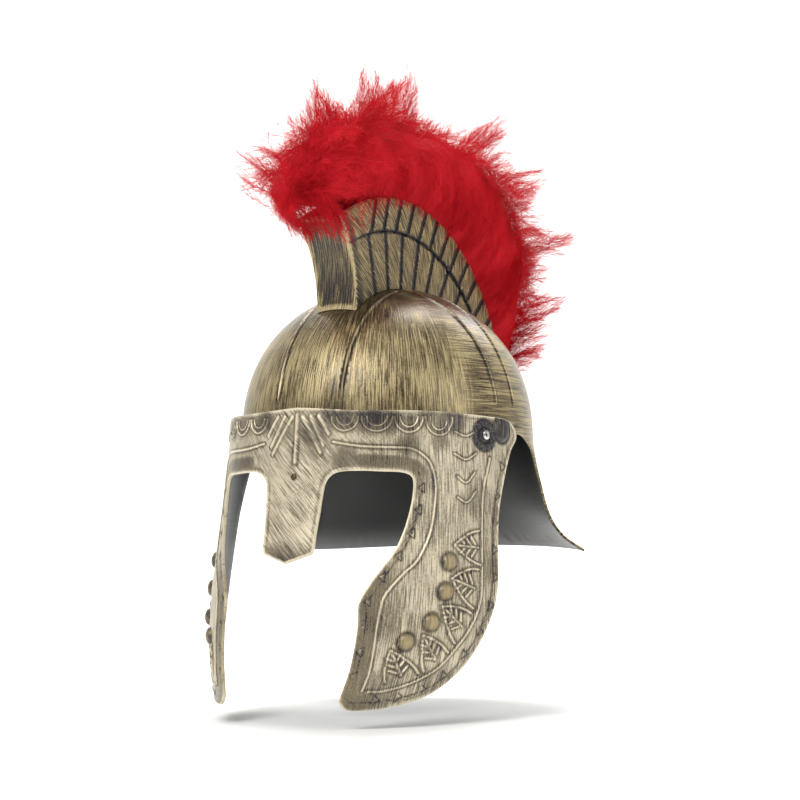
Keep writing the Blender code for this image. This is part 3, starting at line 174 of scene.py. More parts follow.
# Columns: name, place to the camera's right, towards it and up, size, watts, in metres, and
# whether it lights the helmet or the card behind it.
LIGHTS = (
    ("key_light", -0.75, 1.15, 1.05, 0.8, 19.0, True),
    ("fill_light", 1.30, 0.70, 0.45, 0.8, 5.0, True),
    ("rim_light", 0.60, -1.00, 1.00, 0.8, 8.0, True),
    ("card_light", 0.0, -0.70, 1.70, 1.4, 60.0, False),
)
HELMET_AIM = Vector((0, 0, -0.06))
CARD_AIM = ahead * 2.0
for name, across, near, rise, size, watts, on_helmet in LIGHTS:
    aim = HELMET_AIM if on_helmet else CARD_AIM
    lamp = placed(name, bpy.data.lights.new(name, "AREA"))
    lamp.data.shape = "DISK"
    lamp.data.size = size
    lamp.data.energy = watts
    place = right * across - ahead * near + Vector((0, 0, rise))
    lamp.matrix_world = Matrix.Translation(place) @ (
        (place - aim).to_track_quat("Z", "Y").to_matrix().to_4x4()
    )
print("floor at", round(floor_level, 4), "with", len(LIGHTS), "lights")

# %% [markdown]
# ## Flat patterns
# A moulded shell is easiest to draw as a tailor would: lay its outline and its ornament out
# flat, fill them with small triangles, and then bend the sheet to its real shape. A constrained
# Delaunay triangulation keeps every line of the drawing as a row of edges, so that a raised
# line stays crisp however fine the mesh is.


# %% Curves and tables
def table(rows, at):
    """Smooth value of a table's second column at values of its first, by cubic spans."""
    xs = np.array([row[0] for row in rows])
    ys = np.array([row[1] for row in rows])
    at = np.clip(at, xs[0], xs[-1])
    i = np.clip(np.searchsorted(xs, at, side="right") - 1, 0, len(xs) - 2)
    before = np.maximum(np.arange(len(xs)) - 1, 0)
    after = np.minimum(np.arange(len(xs)) + 1, len(xs) - 1)
    slopes = (ys[after] - ys[before]) / (xs[after] - xs[before])
    span = xs[i + 1] - xs[i]
    t = (at - xs[i]) / span
    rise = ys[i + 1] - ys[i]
    bend = t * (1 - t) ** 2 * slopes[i] - t * t * (1 - t) * slopes[i + 1]
    return ys[i] + t * t * (3 - 2 * t) * rise + span * bend


def smooth_share(value):
    """A value eased from 0 to 1."""
    value = np.clip(value, 0, 1)
    return value * value * (3 - 2 * value)


def arc_power(value, roundness):
    """A sine or cosine drawn out to the corner of a rounder or squarer oval."""
    return np.sign(value) * np.abs(value) ** (2 / roundness)


def soft_line(distance, middle, half):
    """A soft stripe: 1 at a middle distance, and fading over about its half width."""
    return np.exp(-(((distance - middle) / half) ** 2))


def rounded(away, half):
    """A soft ridge: 1 on its middle line and 0 at its feet."""
    return 0.5 + 0.5 * np.cos(pi * np.clip(away / half, 0, 1))


def at_least(values, level, chosen=slice(None)):
    """Raise the values to a level, everywhere or only where chosen."""
    values[chosen] = np.maximum(values[chosen], level)


def bowed(first, knee, last, t):
    """A curve that leaves its first point towards the knee and ends at its last."""
    return first * (1 - t) ** 2 + knee * 2 * t * (1 - t) + last * t * t


def closed(loop):
    return np.vstack([loop, loop[:1]])


def mirrored(path):
    """The path on the pattern's other side."""
    return path * np.array([-1.0, 1.0])


def smooth_path(points, step, corners=None):
    """Points a step apart on the curve through the given ones, straight at corners."""
    points = np.array(points, float)
    corners = corners or [False] * len(points)
    path = [points[0]]
    for i in range(len(points) - 1):
        a, b = points[i], points[i + 1]
        loose_start = corners[i] or i == 0
        loose_end = corners[i + 1] or i + 2 == len(points)
        start = b - a if loose_start else (b - points[i - 1]) / 2
        end = b - a if loose_end else (points[i + 2] - a) / 2
        count = max(1, round(np.linalg.norm(b - a) / step))
        t = (np.arange(count) + 1)[:, None] / count
        span = a * (1 + 2 * t) * (1 - t) ** 2 + b * t * t * (3 - 2 * t)
        path.extend(span + start * t * (1 - t) ** 2 - end * t * t * (1 - t))
    return np.array(path)


def path_distance(points, path):
    """Each point's distance to an open path of straight spans."""
    nearest = np.full(len(points), np.inf)
    for a, b in zip(path[:-1], path[1:]):
        along = b - a
        offset = points - a
        share = np.clip(offset @ along / max(along @ along, 1e-18), 0, 1)
        nearest = np.minimum(nearest, np.hypot(*(offset - share[:, None] * along).T))
    return nearest


def near_path(points, path, reach):
    """Which points lie within reach of a path's box, and their distances to the path."""
    close = ((points > path.min(0) - reach) & (points < path.max(0) + reach)).all(1)
    chosen = np.flatnonzero(close)
    return chosen, path_distance(points[chosen], path)


def inside(points, loop):
    """Whether each point lies inside a closed loop."""
    state = np.zeros(len(points), bool)
    for (ax, ay), (bx, by) in zip(loop, np.roll(loop, -1, 0)):
        if ay == by:
            continue
        level = (points[:, 1] > min(ay, by)) & (points[:, 1] <= max(ay, by))
        state ^= level & (points[:, 0] < ax + (points[:, 1] - ay) * (bx - ax) / (by - ay))
    return state


def offset_loop(loop, amount):
    """A loop that turns to the left, moved inwards."""
    before = loop - np.roll(loop, 1, 0)
    before /= np.linalg.norm(before, axis=1)[:, None]
    after = np.roll(before, -1, 0)
    side = before + after
    side = np.stack([-side[:, 1], side[:, 0]], 1)
    side /= np.linalg.norm(side, axis=1)[:, None]
    miter = np.maximum(0.5, (side * np.stack([-before[:, 1], before[:, 0]], 1)).sum(1))
    return loop + side * (amount / miter)[:, None]


def triangulated(outline, lines, step):
    """Small triangles over the inside of an outline that keep the given lines as edges."""
    coords = [Vector(p) for p in outline]
    count = len(outline)
    edges = [(i, (i + 1) % count) for i in range(count)]
    for line in lines:
        first = len(coords)
        coords.extend(Vector(p) for p in line)
        edges.extend((first + i, first + i + 1) for i in range(len(line) - 1))
    drawn = kdtree.KDTree(len(coords))
    for i, point in enumerate(coords):
        drawn.insert((point.x, point.y, 0), i)
    drawn.balance()
    low, high = outline.min(0), outline.max(0)
    rows = int((high[1] - low[1]) / (step * sqrt(3) / 2)) + 1
    columns = int((high[0] - low[0]) / step) + 2
    row, column = np.mgrid[0:rows, 0:columns]
    grid = np.stack([
        low[0] + (column + 0.5 * (row % 2)) * step,
        low[1] + row * step * sqrt(3) / 2,
    ], -1).reshape(-1, 2)
    grid = grid[inside(grid, outline)]
    free = [drawn.find((x, y, 0))[2] > 0.6 * step for x, y in grid]
    coords.extend(Vector(p) for p in grid[np.array(free, bool)])
    found = delaunay_2d_cdt(coords, edges, [], 0, 1e-8, True)
    points = np.array([p[:] for p in found[0]])
    triangles = np.array(found[2])
    triangles = triangles[inside(points[triangles].mean(1), outline)]
    place = {}
    for index, sources in enumerate(found[3]):
        for source in sources:
            place[source] = index
    return points, triangles, np.array([place[i] for i in range(count)])


def facing(surface, points, reach=0.3 * MM):
    """The outward direction of a bent sheet at points of its pattern."""
    du = np.array([reach, 0.0])
    dv = np.array([0.0, reach])
    along = surface(points + du) - surface(points - du)
    across = surface(points + dv) - surface(points - dv)
    normal = np.cross(along, across)
    return normal / np.linalg.norm(normal, axis=1)[:, None]


print("a quarter of a table:", float(table(((0, 0), (1, 1), (2, 0)), 0.5)))

# %% [markdown]
# ## One moulded wall
# Every shell has an outer face with raised work, a plain inner face and a rim between them.
# The rim is eased by half a millimetre on both faces, as a moulding comes out of its tool.

# %% Bend a pattern to a wall with two faces
EASE = 0.45 * MM
OUTER_STEP = 1.15 * MM
INNER_STEP = 5.0 * MM


def eased(away):
    """How far a face drops as it nears the rim, for a distance to the rim."""
    return EASE * np.clip(1 - away / (2 * EASE), 0, 1) ** 2


def moulded_wall(
    outline, lines, surface, lift, wall, step=OUTER_STEP, inner_step=INNER_STEP, ease=True
):
    """Points, triangles, pattern places and an inner-face mark of one moulded wall."""
    shares = (0.7, 2.0) if ease else ()
    rings = [closed(offset_loop(outline, EASE * share)) for share in shares]
    flat, faces, rim = triangulated(outline, list(lines) + rings, step)
    border = closed(outline)
    away = path_distance(flat, border)
    height = lift(flat, away) - ease * eased(away)
    outer = surface(flat) + facing(surface, flat) * height[:, None]
    under, inner_faces, inner_rim = triangulated(outline, rings, inner_step)
    depth = wall - ease * eased(path_distance(under, border))
    inner = surface(under) - facing(surface, under) * depth[:, None]
    first = len(outer)
    rim_next = np.roll(rim, -1)
    inner_rim = inner_rim + first
    inner_next = np.roll(inner_rim, -1)
    triangles = np.vstack([
        faces,
        inner_faces[:, ::-1] + first,
        np.stack([rim_next, rim, inner_rim], 1),
        np.stack([rim_next, inner_rim, inner_next], 1),
    ])
    is_inner = np.zeros(len(triangles), bool)
    is_inner[len(faces) : len(faces) + len(inner_faces)] = True
    return np.vstack([outer, inner]), triangles, np.vstack([flat, under]), is_inner


def mesh_piece(name, points, triangles, materials, marks=None, angle=35.0):
    """A new object from points and triangles, with its materials and smooth shading."""
    mesh = bpy.data.meshes.new(name)
    mesh.vertices.add(len(points))
    mesh.vertices.foreach_set("co", np.asarray(points, np.float32).ravel())
    mesh.loops.add(3 * len(triangles))
    mesh.loops.foreach_set("vertex_index", np.asarray(triangles, np.int32).ravel())
    mesh.polygons.add(len(triangles))
    mesh.polygons.foreach_set("loop_start", np.arange(0, 3 * len(triangles), 3, dtype=np.int32))
    mesh.update(calc_edges=True)
    mesh.validate()
    for material in materials:
        mesh.materials.append(material)
    if marks is not None:
        mesh.polygons.foreach_set("material_index", np.asarray(marks, np.int32))
    mesh.shade_smooth()
    mesh.set_sharp_from_angle(angle=radians(angle))
    return placed(name, mesh)


# Columns: kind of attribute, the name of its values.
VALUE_NAMES = {"FLOAT": "value", "FLOAT_VECTOR": "vector", "FLOAT_COLOR": "color"}


def give_attribute(mesh, name, kind, values):
    """Store a value, a vector or a colour on every point."""
    layer = mesh.attributes.new(name, kind, "POINT")
    layer.data.foreach_set(VALUE_NAMES[kind], np.asarray(values, np.float32).ravel())


def give_paint(piece, grain, paint):
    """Store the brush's own coordinates and the paint's four amounts on the points."""
    give_attribute(piece.data, "grain", "FLOAT_VECTOR", grain)
    give_attribute(piece.data, "paint", "FLOAT_COLOR", paint)


def flat_grain(flat):
    """The brush follows the flat pattern itself."""
    return np.hstack([flat, np.zeros((len(flat), 1))])


def paint_amounts(wash_and_shade, warm, worn, swing):
    """The paint's four amounts side by side, each an array or one number for all points."""
    return np.stack(np.broadcast_arrays(wash_and_shade, warm, worn, swing), 1)


def dress(piece, node):
    """Hang a piece on the root body, hide the imported part it stands for, and print its faces."""
    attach(piece, "root")
    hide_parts(node)
    print(piece.name, len(piece.data.polygons), "faces")


print("rim eased by", EASE / MM, "mm")

# %% [markdown]
# ## Black plastic under antique bronze
# The pieces are moulded in black plastic, sprayed dark bronze, and then brushed almost dry with
# pale bronze, so the bristles leave long streaks and skip the hollows. Each streak is noise
# stretched along the brush's way, and a streak shows where the noise beats how thinly the
# paint lies there. Four amounts on the points say how the paint lies: red is dark wash together
# with painted shade, green is warm gold, blue is a worn bright edge, and alpha turns the brush.

# %% The dry-brushed finish
STREAK_LENGTH = 18 * MM
PATCH_SIZE = 24 * MM
GRIT_SIZE = 1.3 * MM
BRUSH_RELIEF = 0.15 * MM
WORN_EDGE = "#EADFBD"
# How thick the bronze is where each coat starts to show and where it covers.
SPRAYED_FROM, SPRAYED_TO = -0.10, 0.26
BRUSHED_FROM, BRUSHED_TO = 0.28, 0.86
PLASTIC_IOR = 1.5


def noise(tree, vector, scale=1.0, detail=3.0, roughness=0.5):
    """A noise's level over a vector."""
    node = add_node(
        tree, "ShaderNodeTexNoise", {"Scale": scale, "Detail": detail, "Roughness": roughness},
        {"Vector": vector},
    )
    return node.outputs["Fac"]


def mapped(tree, vector, **values):
    """A vector turned or scaled."""
    return add_node(tree, "ShaderNodeMapping", values, {"Vector": vector}).outputs["Vector"]


def streaks_along(tree, grain, angle, bristle):
    """Streaks drawn out along one way of the flat pattern, by real sizes."""
    spun = mapped(tree, grain, Rotation=(0, 0, radians(angle)))
    scale = (1 / bristle, 1 / STREAK_LENGTH, 1 / STREAK_LENGTH)
    return noise(tree, mapped(tree, spun, Scale=scale), detail=4.0, roughness=0.62)


def streaks_round(tree, grain, level, bristle):
    """Streaks level round the dome or down it, along the pattern's third axis."""
    down = (1 / bristle, 1 / bristle, 1 / STREAK_LENGTH)
    across = (0.6 / STREAK_LENGTH, 0.6 / STREAK_LENGTH, 0.8 / bristle)
    return noise(tree, mapped(tree, grain, Scale=across if level else down), roughness=0.6)


def mixed(tree, factor, first, second):
    """A colour mix of two sockets or fixed colours."""
    node = add_node(tree, "ShaderNodeMix", data_type="RGBA")
    for socket, source in ((0, factor), (6, first), (7, second)):
        if isinstance(source, (tuple, float)):
            node.inputs[socket].default_value = source
        else:
            tree.links.new(source, node.inputs[socket])
    return node.outputs[2]


def maths(tree, operation, *sources, clamp=False):
    """One step of arithmetic on sockets or fixed numbers."""
    node = add_node(tree, "ShaderNodeMath", operation=operation, use_clamp=clamp)
    for i, source in enumerate(sources):
        if isinstance(source, (int, float)):
            node.inputs[i].default_value = source
        else:
            tree.links.new(source, node.inputs[i])
    return node.outputs[0]


def ramped(tree, source, low, high):
    """A socket's value spread smoothly from 0 at low to 1 at high."""
    node = add_node(
        tree, "ShaderNodeMapRange", {"From Min": low, "From Max": high}, {"Value": source},
        interpolation_type="SMOOTHSTEP",
    )
    return node.outputs["Result"]


def dry_brushed(
    name, under, middle, pale, gold, brush, cover, polar=False, metallic=0.35, rough=0.36,
    depth=2.2, bristle=0.55 * MM, patchy=0.55,
):
    """Dark plastic under dry-brushed bronze.

    brush is the streaks' two angles in degrees, or on the dome whether each runs level round it.
    """
    material, tree, shader = new_material(name, {"Metallic": metallic, "IOR": PLASTIC_IOR})
    grain = add_node(tree, "ShaderNodeAttribute", attribute_name="grain").outputs["Vector"]
    paint = add_node(tree, "ShaderNodeAttribute", attribute_name="paint")
    amounts = add_node(tree, "ShaderNodeSeparateColor", links={"Color": paint.outputs["Color"]})
    wash_and_shade, warm, worn = amounts.outputs[0], amounts.outputs[1], amounts.outputs[2]
    swing = paint.outputs["Alpha"]
    streaks = streaks_round if polar else streaks_along
    first, second = (streaks(tree, grain, way, bristle) for way in brush)
    side = add_node(
        tree, "ShaderNodeMix", links={0: swing, 2: first, 3: second}, data_type="FLOAT"
    ).outputs[0]
    place = add_node(tree, "ShaderNodeTexCoord").outputs["Object"]
    patch = noise(tree, place, 1 / PATCH_SIZE)
    grit = noise(tree, place, 1 / GRIT_SIZE)
    # How thickly the bronze lies here, from the patches, the wash with its painted shade, the wear
    # and the streaks.
    thick = maths(tree, "MULTIPLY_ADD", patch, patchy, cover - patchy / 2)
    thick = maths(tree, "MULTIPLY_ADD", wash_and_shade, -0.85, thick)
    thick = maths(tree, "MULTIPLY_ADD", worn, 0.50, thick)
    thick = maths(tree, "ADD", thick, maths(tree, "MULTIPLY_ADD", side, depth, -depth / 2))
    thick = maths(tree, "ADD", thick, maths(tree, "MULTIPLY_ADD", grit, 0.5, -0.25))
    sprayed = ramped(tree, thick, SPRAYED_FROM, SPRAYED_TO)
    brushed = ramped(tree, thick, BRUSHED_FROM, BRUSHED_TO)
    warmer = maths(tree, "SUBTRACT", warm, 0.25)
    golden = maths(tree, "MULTIPLY_ADD", patch, 0.5, warmer, clamp=True)
    top = mixed(tree, golden, linear(pale), linear(gold))
    top = mixed(tree, maths(tree, "MULTIPLY", worn, 0.4), top, linear(WORN_EDGE))
    bronze = mixed(tree, brushed, linear(middle), top)
    tree.links.new(mixed(tree, sprayed, linear(under), bronze), shader.inputs["Base Color"])
    dull = maths(tree, "MULTIPLY_ADD", grit, 0.16, rough - 0.08)
    dull = maths(tree, "MULTIPLY_ADD", brushed, 0.10, dull)
    tree.links.new(dull, shader.inputs["Roughness"])
    bump = add_node(
        tree, "ShaderNodeBump", {"Strength": 0.6, "Distance": BRUSH_RELIEF},
        {"Height": maths(tree, "MULTIPLY_ADD", brushed, 0.4, side)},
    )
    tree.links.new(bump.outputs["Normal"], shader.inputs["Normal"])
    return material


# Face plate: the palest brushing, cream over slate-dark hollows.
face_finish = dry_brushed(
    "dry_brushed_abs_face", "#2F2C30", "#786E5A", "#D6CAB0", "#A38F62", (0, -42), 0.58
)
# Skull: warmer and smoother, brushed down at the front and round at the sides.
dome_finish = dry_brushed(
    "dry_brushed_abs_dome", "#2A2218", "#6E6044", "#C4B488", "#A08B5A", (False, True), 0.47,
    polar=True, metallic=0.40, rough=0.30, depth=2.9, bristle=0.8 * MM, patchy=1.0,
)
# Crest holder: the darkest, with gold on its raised edges.
crest_finish = dry_brushed(
    "dry_brushed_abs_crest", "#2C2B31", "#63573D", "#CDBA8A", "#A8925A", (8, -52), 0.44, depth=3.6,
    bristle=0.85 * MM,
)

# %% [markdown]
# The inside was never painted. Plain black moulded plastic has a soft satin sheen, with faint
# rings where the mould's parts met.

# %% The bare black inside
bare_black, tree, shader = new_material(
    "bare_black_abs", {"Base Color": linear("#151314"), "IOR": PLASTIC_IOR}
)
place = add_node(tree, "ShaderNodeTexCoord").outputs["Object"]
scuff = noise(tree, mapped(tree, place, Scale=(30, 30, 900)))
sheen = maths(tree, "MULTIPLY_ADD", scuff, 0.16, 0.34)
tree.links.new(sheen, shader.inputs["Roughness"])
print("finishes:", face_finish.name, dome_finish.name, crest_finish.name, bare_black.name)

# %% [markdown]
# ## The skull
# The dome is an oval bowl that runs down into a flared neck guard. Its pattern is a disc: the
# middle is the crown, the angle is the turn from the front, and the radius is the way down the
# surface. The sizes below are the moulding's own.

# %% The skull's sizes and sections
SKULL_WALL = 2.0 * MM
PLATE_WALL = 2.0 * MM
CROWN = SKULL_WALL
HEAD_HALF_WIDTH = 97.0 * MM
HEAD_FRONT = 103.0 * MM
HEAD_REAR = 113.3 * MM
DOME_HEIGHT = 100.6 * MM
DOME_ROUNDNESS = 2.15
PLAN_ROUNDNESS = 2.03
NECK_DROP = 178.5 * MM
NECK_FLARE = 0.352
BEAD_SPACING = 48.0 * MM
STRIP_FRONT = 18.0 * MM
STRIP_REAR = 4.0 * MM
DOME_BEAD_WIDTH = 3.6 * MM
DOME_BEAD_HEIGHT = 0.9 * MM
DOME_LINE_END = 0.985
DOME_ARC = QUARTER * (DOME_HEIGHT + (HEAD_HALF_WIDTH + HEAD_REAR) / 2) / 2
BROW_DROP = 128.5 * MM
# How far the skull's brow stands back from the plate's outer face.
BROW_SEAT = 3.1 * MM

# Columns: drop as a share of NECK_DROP, flare as a share of NECK_FLARE.
SKULL_FLARES = (
    (0.000, 0.000), (0.564, 0.000), (0.640, 0.045), (0.734, 0.142), (0.868, 0.332),
    (0.945, 0.594), (1.000, 1.000), (1.040, 1.300),
)
# Columns: turn as a share of half a turn, drop as a share of NECK_DROP, corner.
SKULL_EDGE = (
    (0.000, 0.782, False), (0.030, 0.782, False), (0.047, 0.765, False), (0.058, 0.715, False),
    (0.072, 0.686, False), (0.170, 0.678, False), (0.333, 0.669, False), (0.433, 0.650, False),
    (0.478, 0.616, False), (0.503, 0.585, False), (0.520, 0.569, False), (0.545, 0.571, False),
    (0.573, 0.587, False), (0.605, 0.612, False), (0.627, 0.639, False), (0.642, 0.680, False),
    (0.654, 0.734, False), (0.662, 0.812, False), (0.663, 0.868, False), (0.658, 0.930, False),
    (0.640, 1.000, True), (0.720, 0.996, False), (0.850, 0.984, False), (1.000, 0.978, False),
)
# The face plate's level sections. Columns: drop as a share of FACE_DROP, half width as a share
# of PLATE_HALF_WIDTH, reach to the front as a share of PLATE_REACH.
PLATE_SECTIONS = (
    (0.254, 0.967, 0.953), (0.319, 0.978, 0.967), (0.464, 1.000, 1.000), (0.543, 1.015, 1.028),
    (0.623, 1.034, 1.065), (0.725, 1.057, 1.123), (0.822, 1.054, 1.167), (0.906, 1.012, 1.204),
    (0.978, 0.948, 1.241), (1.014, 0.916, 1.259),
)
PLATE_HALF_WIDTH = HEAD_HALF_WIDTH + 4.4 * MM + PLATE_WALL
PLATE_REACH = HEAD_FRONT + 10.9 * MM + PLATE_WALL
PLATE_ROUNDNESS = 2.1
CHEEK_LENGTH = 147.5 * MM
FACE_DROP = BROW_DROP + CHEEK_LENGTH


def plate_axes(drop):
    """Half width and reach of the face plate's outer face at a drop."""
    share = drop / FACE_DROP
    width = table([(row[0], row[1]) for row in PLATE_SECTIONS], share)
    reach = table([(row[0], row[2]) for row in PLATE_SECTIONS], share)
    return PLATE_HALF_WIDTH * width, PLATE_REACH * reach


def skull_axes(drop):
    """Half width, front and rear reach of the skull's level section at a drop."""
    height = np.clip(1 - drop / DOME_HEIGHT, 0, 1)
    share = (1 - height**DOME_ROUNDNESS) ** (1 / DOME_ROUNDNESS)
    flare = 1 + NECK_FLARE * table(SKULL_FLARES, drop / NECK_DROP)
    ease = np.clip((drop - DOME_HEIGHT) / (BROW_DROP - DOME_HEIGHT) * 1.15, 0, 1)
    seat = plate_axes(drop)[1] - BROW_SEAT
    front = HEAD_FRONT * share + (seat - HEAD_FRONT) * ease * ease * (3 - 2 * ease)
    return HEAD_HALF_WIDTH * share * flare, front, HEAD_REAR * share * flare


def skull_drop(radius):
    turn = np.clip(radius / DOME_ARC, 0, 1) * QUARTER
    dome = DOME_HEIGHT * (1 - np.cos(turn) ** (2 / DOME_ROUNDNESS))
    return dome + np.maximum(radius - DOME_ARC, 0)


def skull_radius(drop):
    height = np.clip(1 - drop / DOME_HEIGHT, 0, 1) ** (DOME_ROUNDNESS / 2)
    return DOME_ARC / QUARTER * np.arccos(height) + np.maximum(drop - DOME_HEIGHT, 0)


def skull_surface(flat):
    turn = np.arctan2(flat[:, 0], -flat[:, 1])
    drop = skull_drop(np.hypot(flat[:, 0], flat[:, 1]))
    width, front, rear = skull_axes(drop)
    across = arc_power(np.sin(turn), PLAN_ROUNDNESS)
    along = arc_power(np.cos(turn), PLAN_ROUNDNESS)
    reach = np.where(along > 0, front, rear)
    return np.stack([width * across, -reach * along, CROWN - drop], 1)


def skull_pattern(turn, drop):
    radius = skull_radius(drop)
    return np.stack([radius * np.sin(turn), -radius * np.cos(turn)], -1)


def dome_pattern(x, y):
    """Pattern places of the dome's points over places of the plan."""
    across = np.abs(x / HEAD_HALF_WIDTH) ** PLAN_ROUNDNESS
    along = np.abs(y / np.where(y < 0, HEAD_FRONT, HEAD_REAR)) ** PLAN_ROUNDNESS
    level = np.minimum((across + along) ** (1 / PLAN_ROUNDNESS), 1)
    drop = DOME_HEIGHT * (1 - (1 - level**DOME_ROUNDNESS) ** (1 / DOME_ROUNDNESS))
    turn = np.arctan2(across**0.5 * np.sign(x), along**0.5 * -np.sign(y))
    return skull_pattern(turn, drop)


def line_end(across):
    """Where a line of the dome stops, as a share of its reach, at its share of the other axis."""
    return (DOME_LINE_END**PLAN_ROUNDNESS - abs(across) ** PLAN_ROUNDNESS) ** (1 / PLAN_ROUNDNESS)


print("the dome's quarter girth is", round(DOME_ARC / MM, 1), "mm")

# %% Draw and bend the skull
EDGE_STEP = 1.6 * MM
DOME_STEP = 2.2 * MM


def feet_of(path, half):
    """The two lines that run beside a path."""
    ahead = np.gradient(path, axis=0)
    side = np.stack([-ahead[:, 1], ahead[:, 0]], 1)
    side *= half / np.linalg.norm(side, axis=1)[:, None]
    return [path + side, path - side]


def dome_lines():
    """The two beads along the crest and the strip's two lines down each side."""
    side = BEAD_SPACING / 2
    lines = []
    for sign in (1, -1):
        swing = np.sin(np.linspace(-QUARTER, QUARTER, 120))
        ends = line_end(side / HEAD_HALF_WIDTH)
        y = swing * np.where(swing < 0, HEAD_FRONT, HEAD_REAR) * ends
        lines.append(dome_pattern(np.full_like(y, sign * side), y))
        for y, reach in ((-STRIP_FRONT, HEAD_FRONT), (STRIP_REAR, HEAD_REAR)):
            start = side + DOME_BEAD_WIDTH * 0.8
            end = HEAD_HALF_WIDTH * line_end(y / reach)
            x = start + (end - start) * np.sin(np.linspace(0, QUARTER, 60))
            lines.append(dome_pattern(sign * x, np.full_like(x, y)))
    return lines


half_girth = pi * HEAD_HALF_WIDTH
rolled = smooth_path(
    [(half_girth * turn, NECK_DROP * drop) for turn, drop, corner in SKULL_EDGE],
    EDGE_STEP,
    [corner for turn, drop, corner in SKULL_EDGE],
)
left_half = skull_pattern(rolled[:, 0] / HEAD_HALF_WIDTH, rolled[:, 1])
skull_outline = np.vstack([left_half, mirrored(left_half[-2:0:-1])])
beads = dome_lines()
BEAD_HALF = DOME_BEAD_WIDTH / 2


def skull_lift(flat, away):
    height = np.zeros(len(flat))
    for path in beads:
        chosen, distance = near_path(flat, path, 2 * DOME_BEAD_WIDTH)
        at_least(height, DOME_BEAD_HEIGHT * rounded(distance, BEAD_HALF), chosen)
    return height


drawn = []
for path in beads:
    drawn += [path, *feet_of(path, BEAD_HALF), *feet_of(path, BEAD_HALF * 0.5)]
points, triangles, flat, is_inner = moulded_wall(
    skull_outline, drawn, skull_surface, skull_lift, SKULL_WALL, DOME_STEP, 6 * MM
)
skull = mesh_piece("skull_shell", points, triangles, [dome_finish, bare_black], is_inner)

turn = np.arctan2(flat[:, 0], -flat[:, 1])
radius = np.hypot(flat[:, 0], flat[:, 1])
plan = skull_surface(flat)
# Round the sides the brush went level; near the front and on the strips it went down.
level_brush = np.clip((plan[:, 1] + 50 * MM) / (20 * MM), 0, 1)
wash_and_shade = np.zeros(len(flat))
worn = np.zeros(len(flat))
for path in beads:
    chosen, distance = near_path(flat, path, 3 * DOME_BEAD_WIDTH)
    at_least(wash_and_shade, 0.85 * soft_line(distance, BEAD_HALF, 0.9 * MM), chosen)
    at_least(worn, 0.5 * rounded(distance, BEAD_HALF * 0.8), chosen)
# A rough dark patch over the brow, where the paint lifted.
SPECKLE_TURN, SPECKLE_DROP, SPECKLE_RADIUS = 12.0, 82 * MM, 16 * MM
spot = skull_pattern(radians(SPECKLE_TURN), np.array(SPECKLE_DROP))
speckle = np.clip(1.3 - np.hypot(*(flat - spot).T) / SPECKLE_RADIUS, 0, 1)
at_least(wash_and_shade, 0.45 * speckle)
# Painted shade: the dome is darker beside the crest, where the crest and its plume shade it.
CREST_SHADE_RADIUS, CREST_SHADE_BLUR, CREST_SHADE_TURN = 100 * MM, 34 * MM, 2.2
painted_crest_shade = smooth_share((CREST_SHADE_RADIUS - radius) / CREST_SHADE_BLUR) * (np.abs(turn) < CREST_SHADE_TURN)
at_least(wash_and_shade, 0.46 * painted_crest_shade)
GRAIN_RADIUS = 100 * MM
grain = np.stack([GRAIN_RADIUS * np.cos(turn), GRAIN_RADIUS * np.sin(turn), radius], 1)
warm = np.clip(0.35 + 0.25 * (plan[:, 1] > -STRIP_FRONT), 0, 1)
give_paint(skull, grain, paint_amounts(wash_and_shade, warm, worn, level_brush))
dress(skull, "skull")

# %% [markdown]
# ## The face plate
# One wide sheet wraps the face from temple to temple. Its brow band carries half moons and a
# fan of bars, its cheek guards carry leaves and round studs, and a notched rim follows its
# edge. The pattern has the turn round the head across and the height up.

# %% The plate's outline and ornament
BAND_HEIGHT = 38.8 * MM
NASAL_LENGTH = 58.2 * MM
BAND_DROP = BROW_DROP - BAND_HEIGHT
LINE_WIDTH, LINE_HEIGHT = 2.2 * MM, 0.9 * MM
ORNAMENT_WIDTH, ORNAMENT_HEIGHT = 1.8 * MM, 0.9 * MM
EDGE_BEAD_WIDTH, EDGE_BEAD_HEIGHT = 1.8 * MM, 0.5 * MM
STUD_RADIUS, STUD_HEIGHT = 5.8 * MM, 3.4 * MM
TOOTH_LENGTH, TOOTH_HEIGHT = 3.8 * MM, 0.8 * MM
ROSETTE_RADIUS, ROSETTE_HEIGHT, BOSS_RADIUS = 10.5 * MM, 1.4 * MM, 3.8 * MM
ROSETTE_TURN, ROSETTE_DROP = 0.785, 0.375
LOBE_TURN, LOBE_DROP, LOBE_RADIUS, LOBE_HEIGHT = 0.882, 0.262, 8.5 * MM, 1.8 * MM

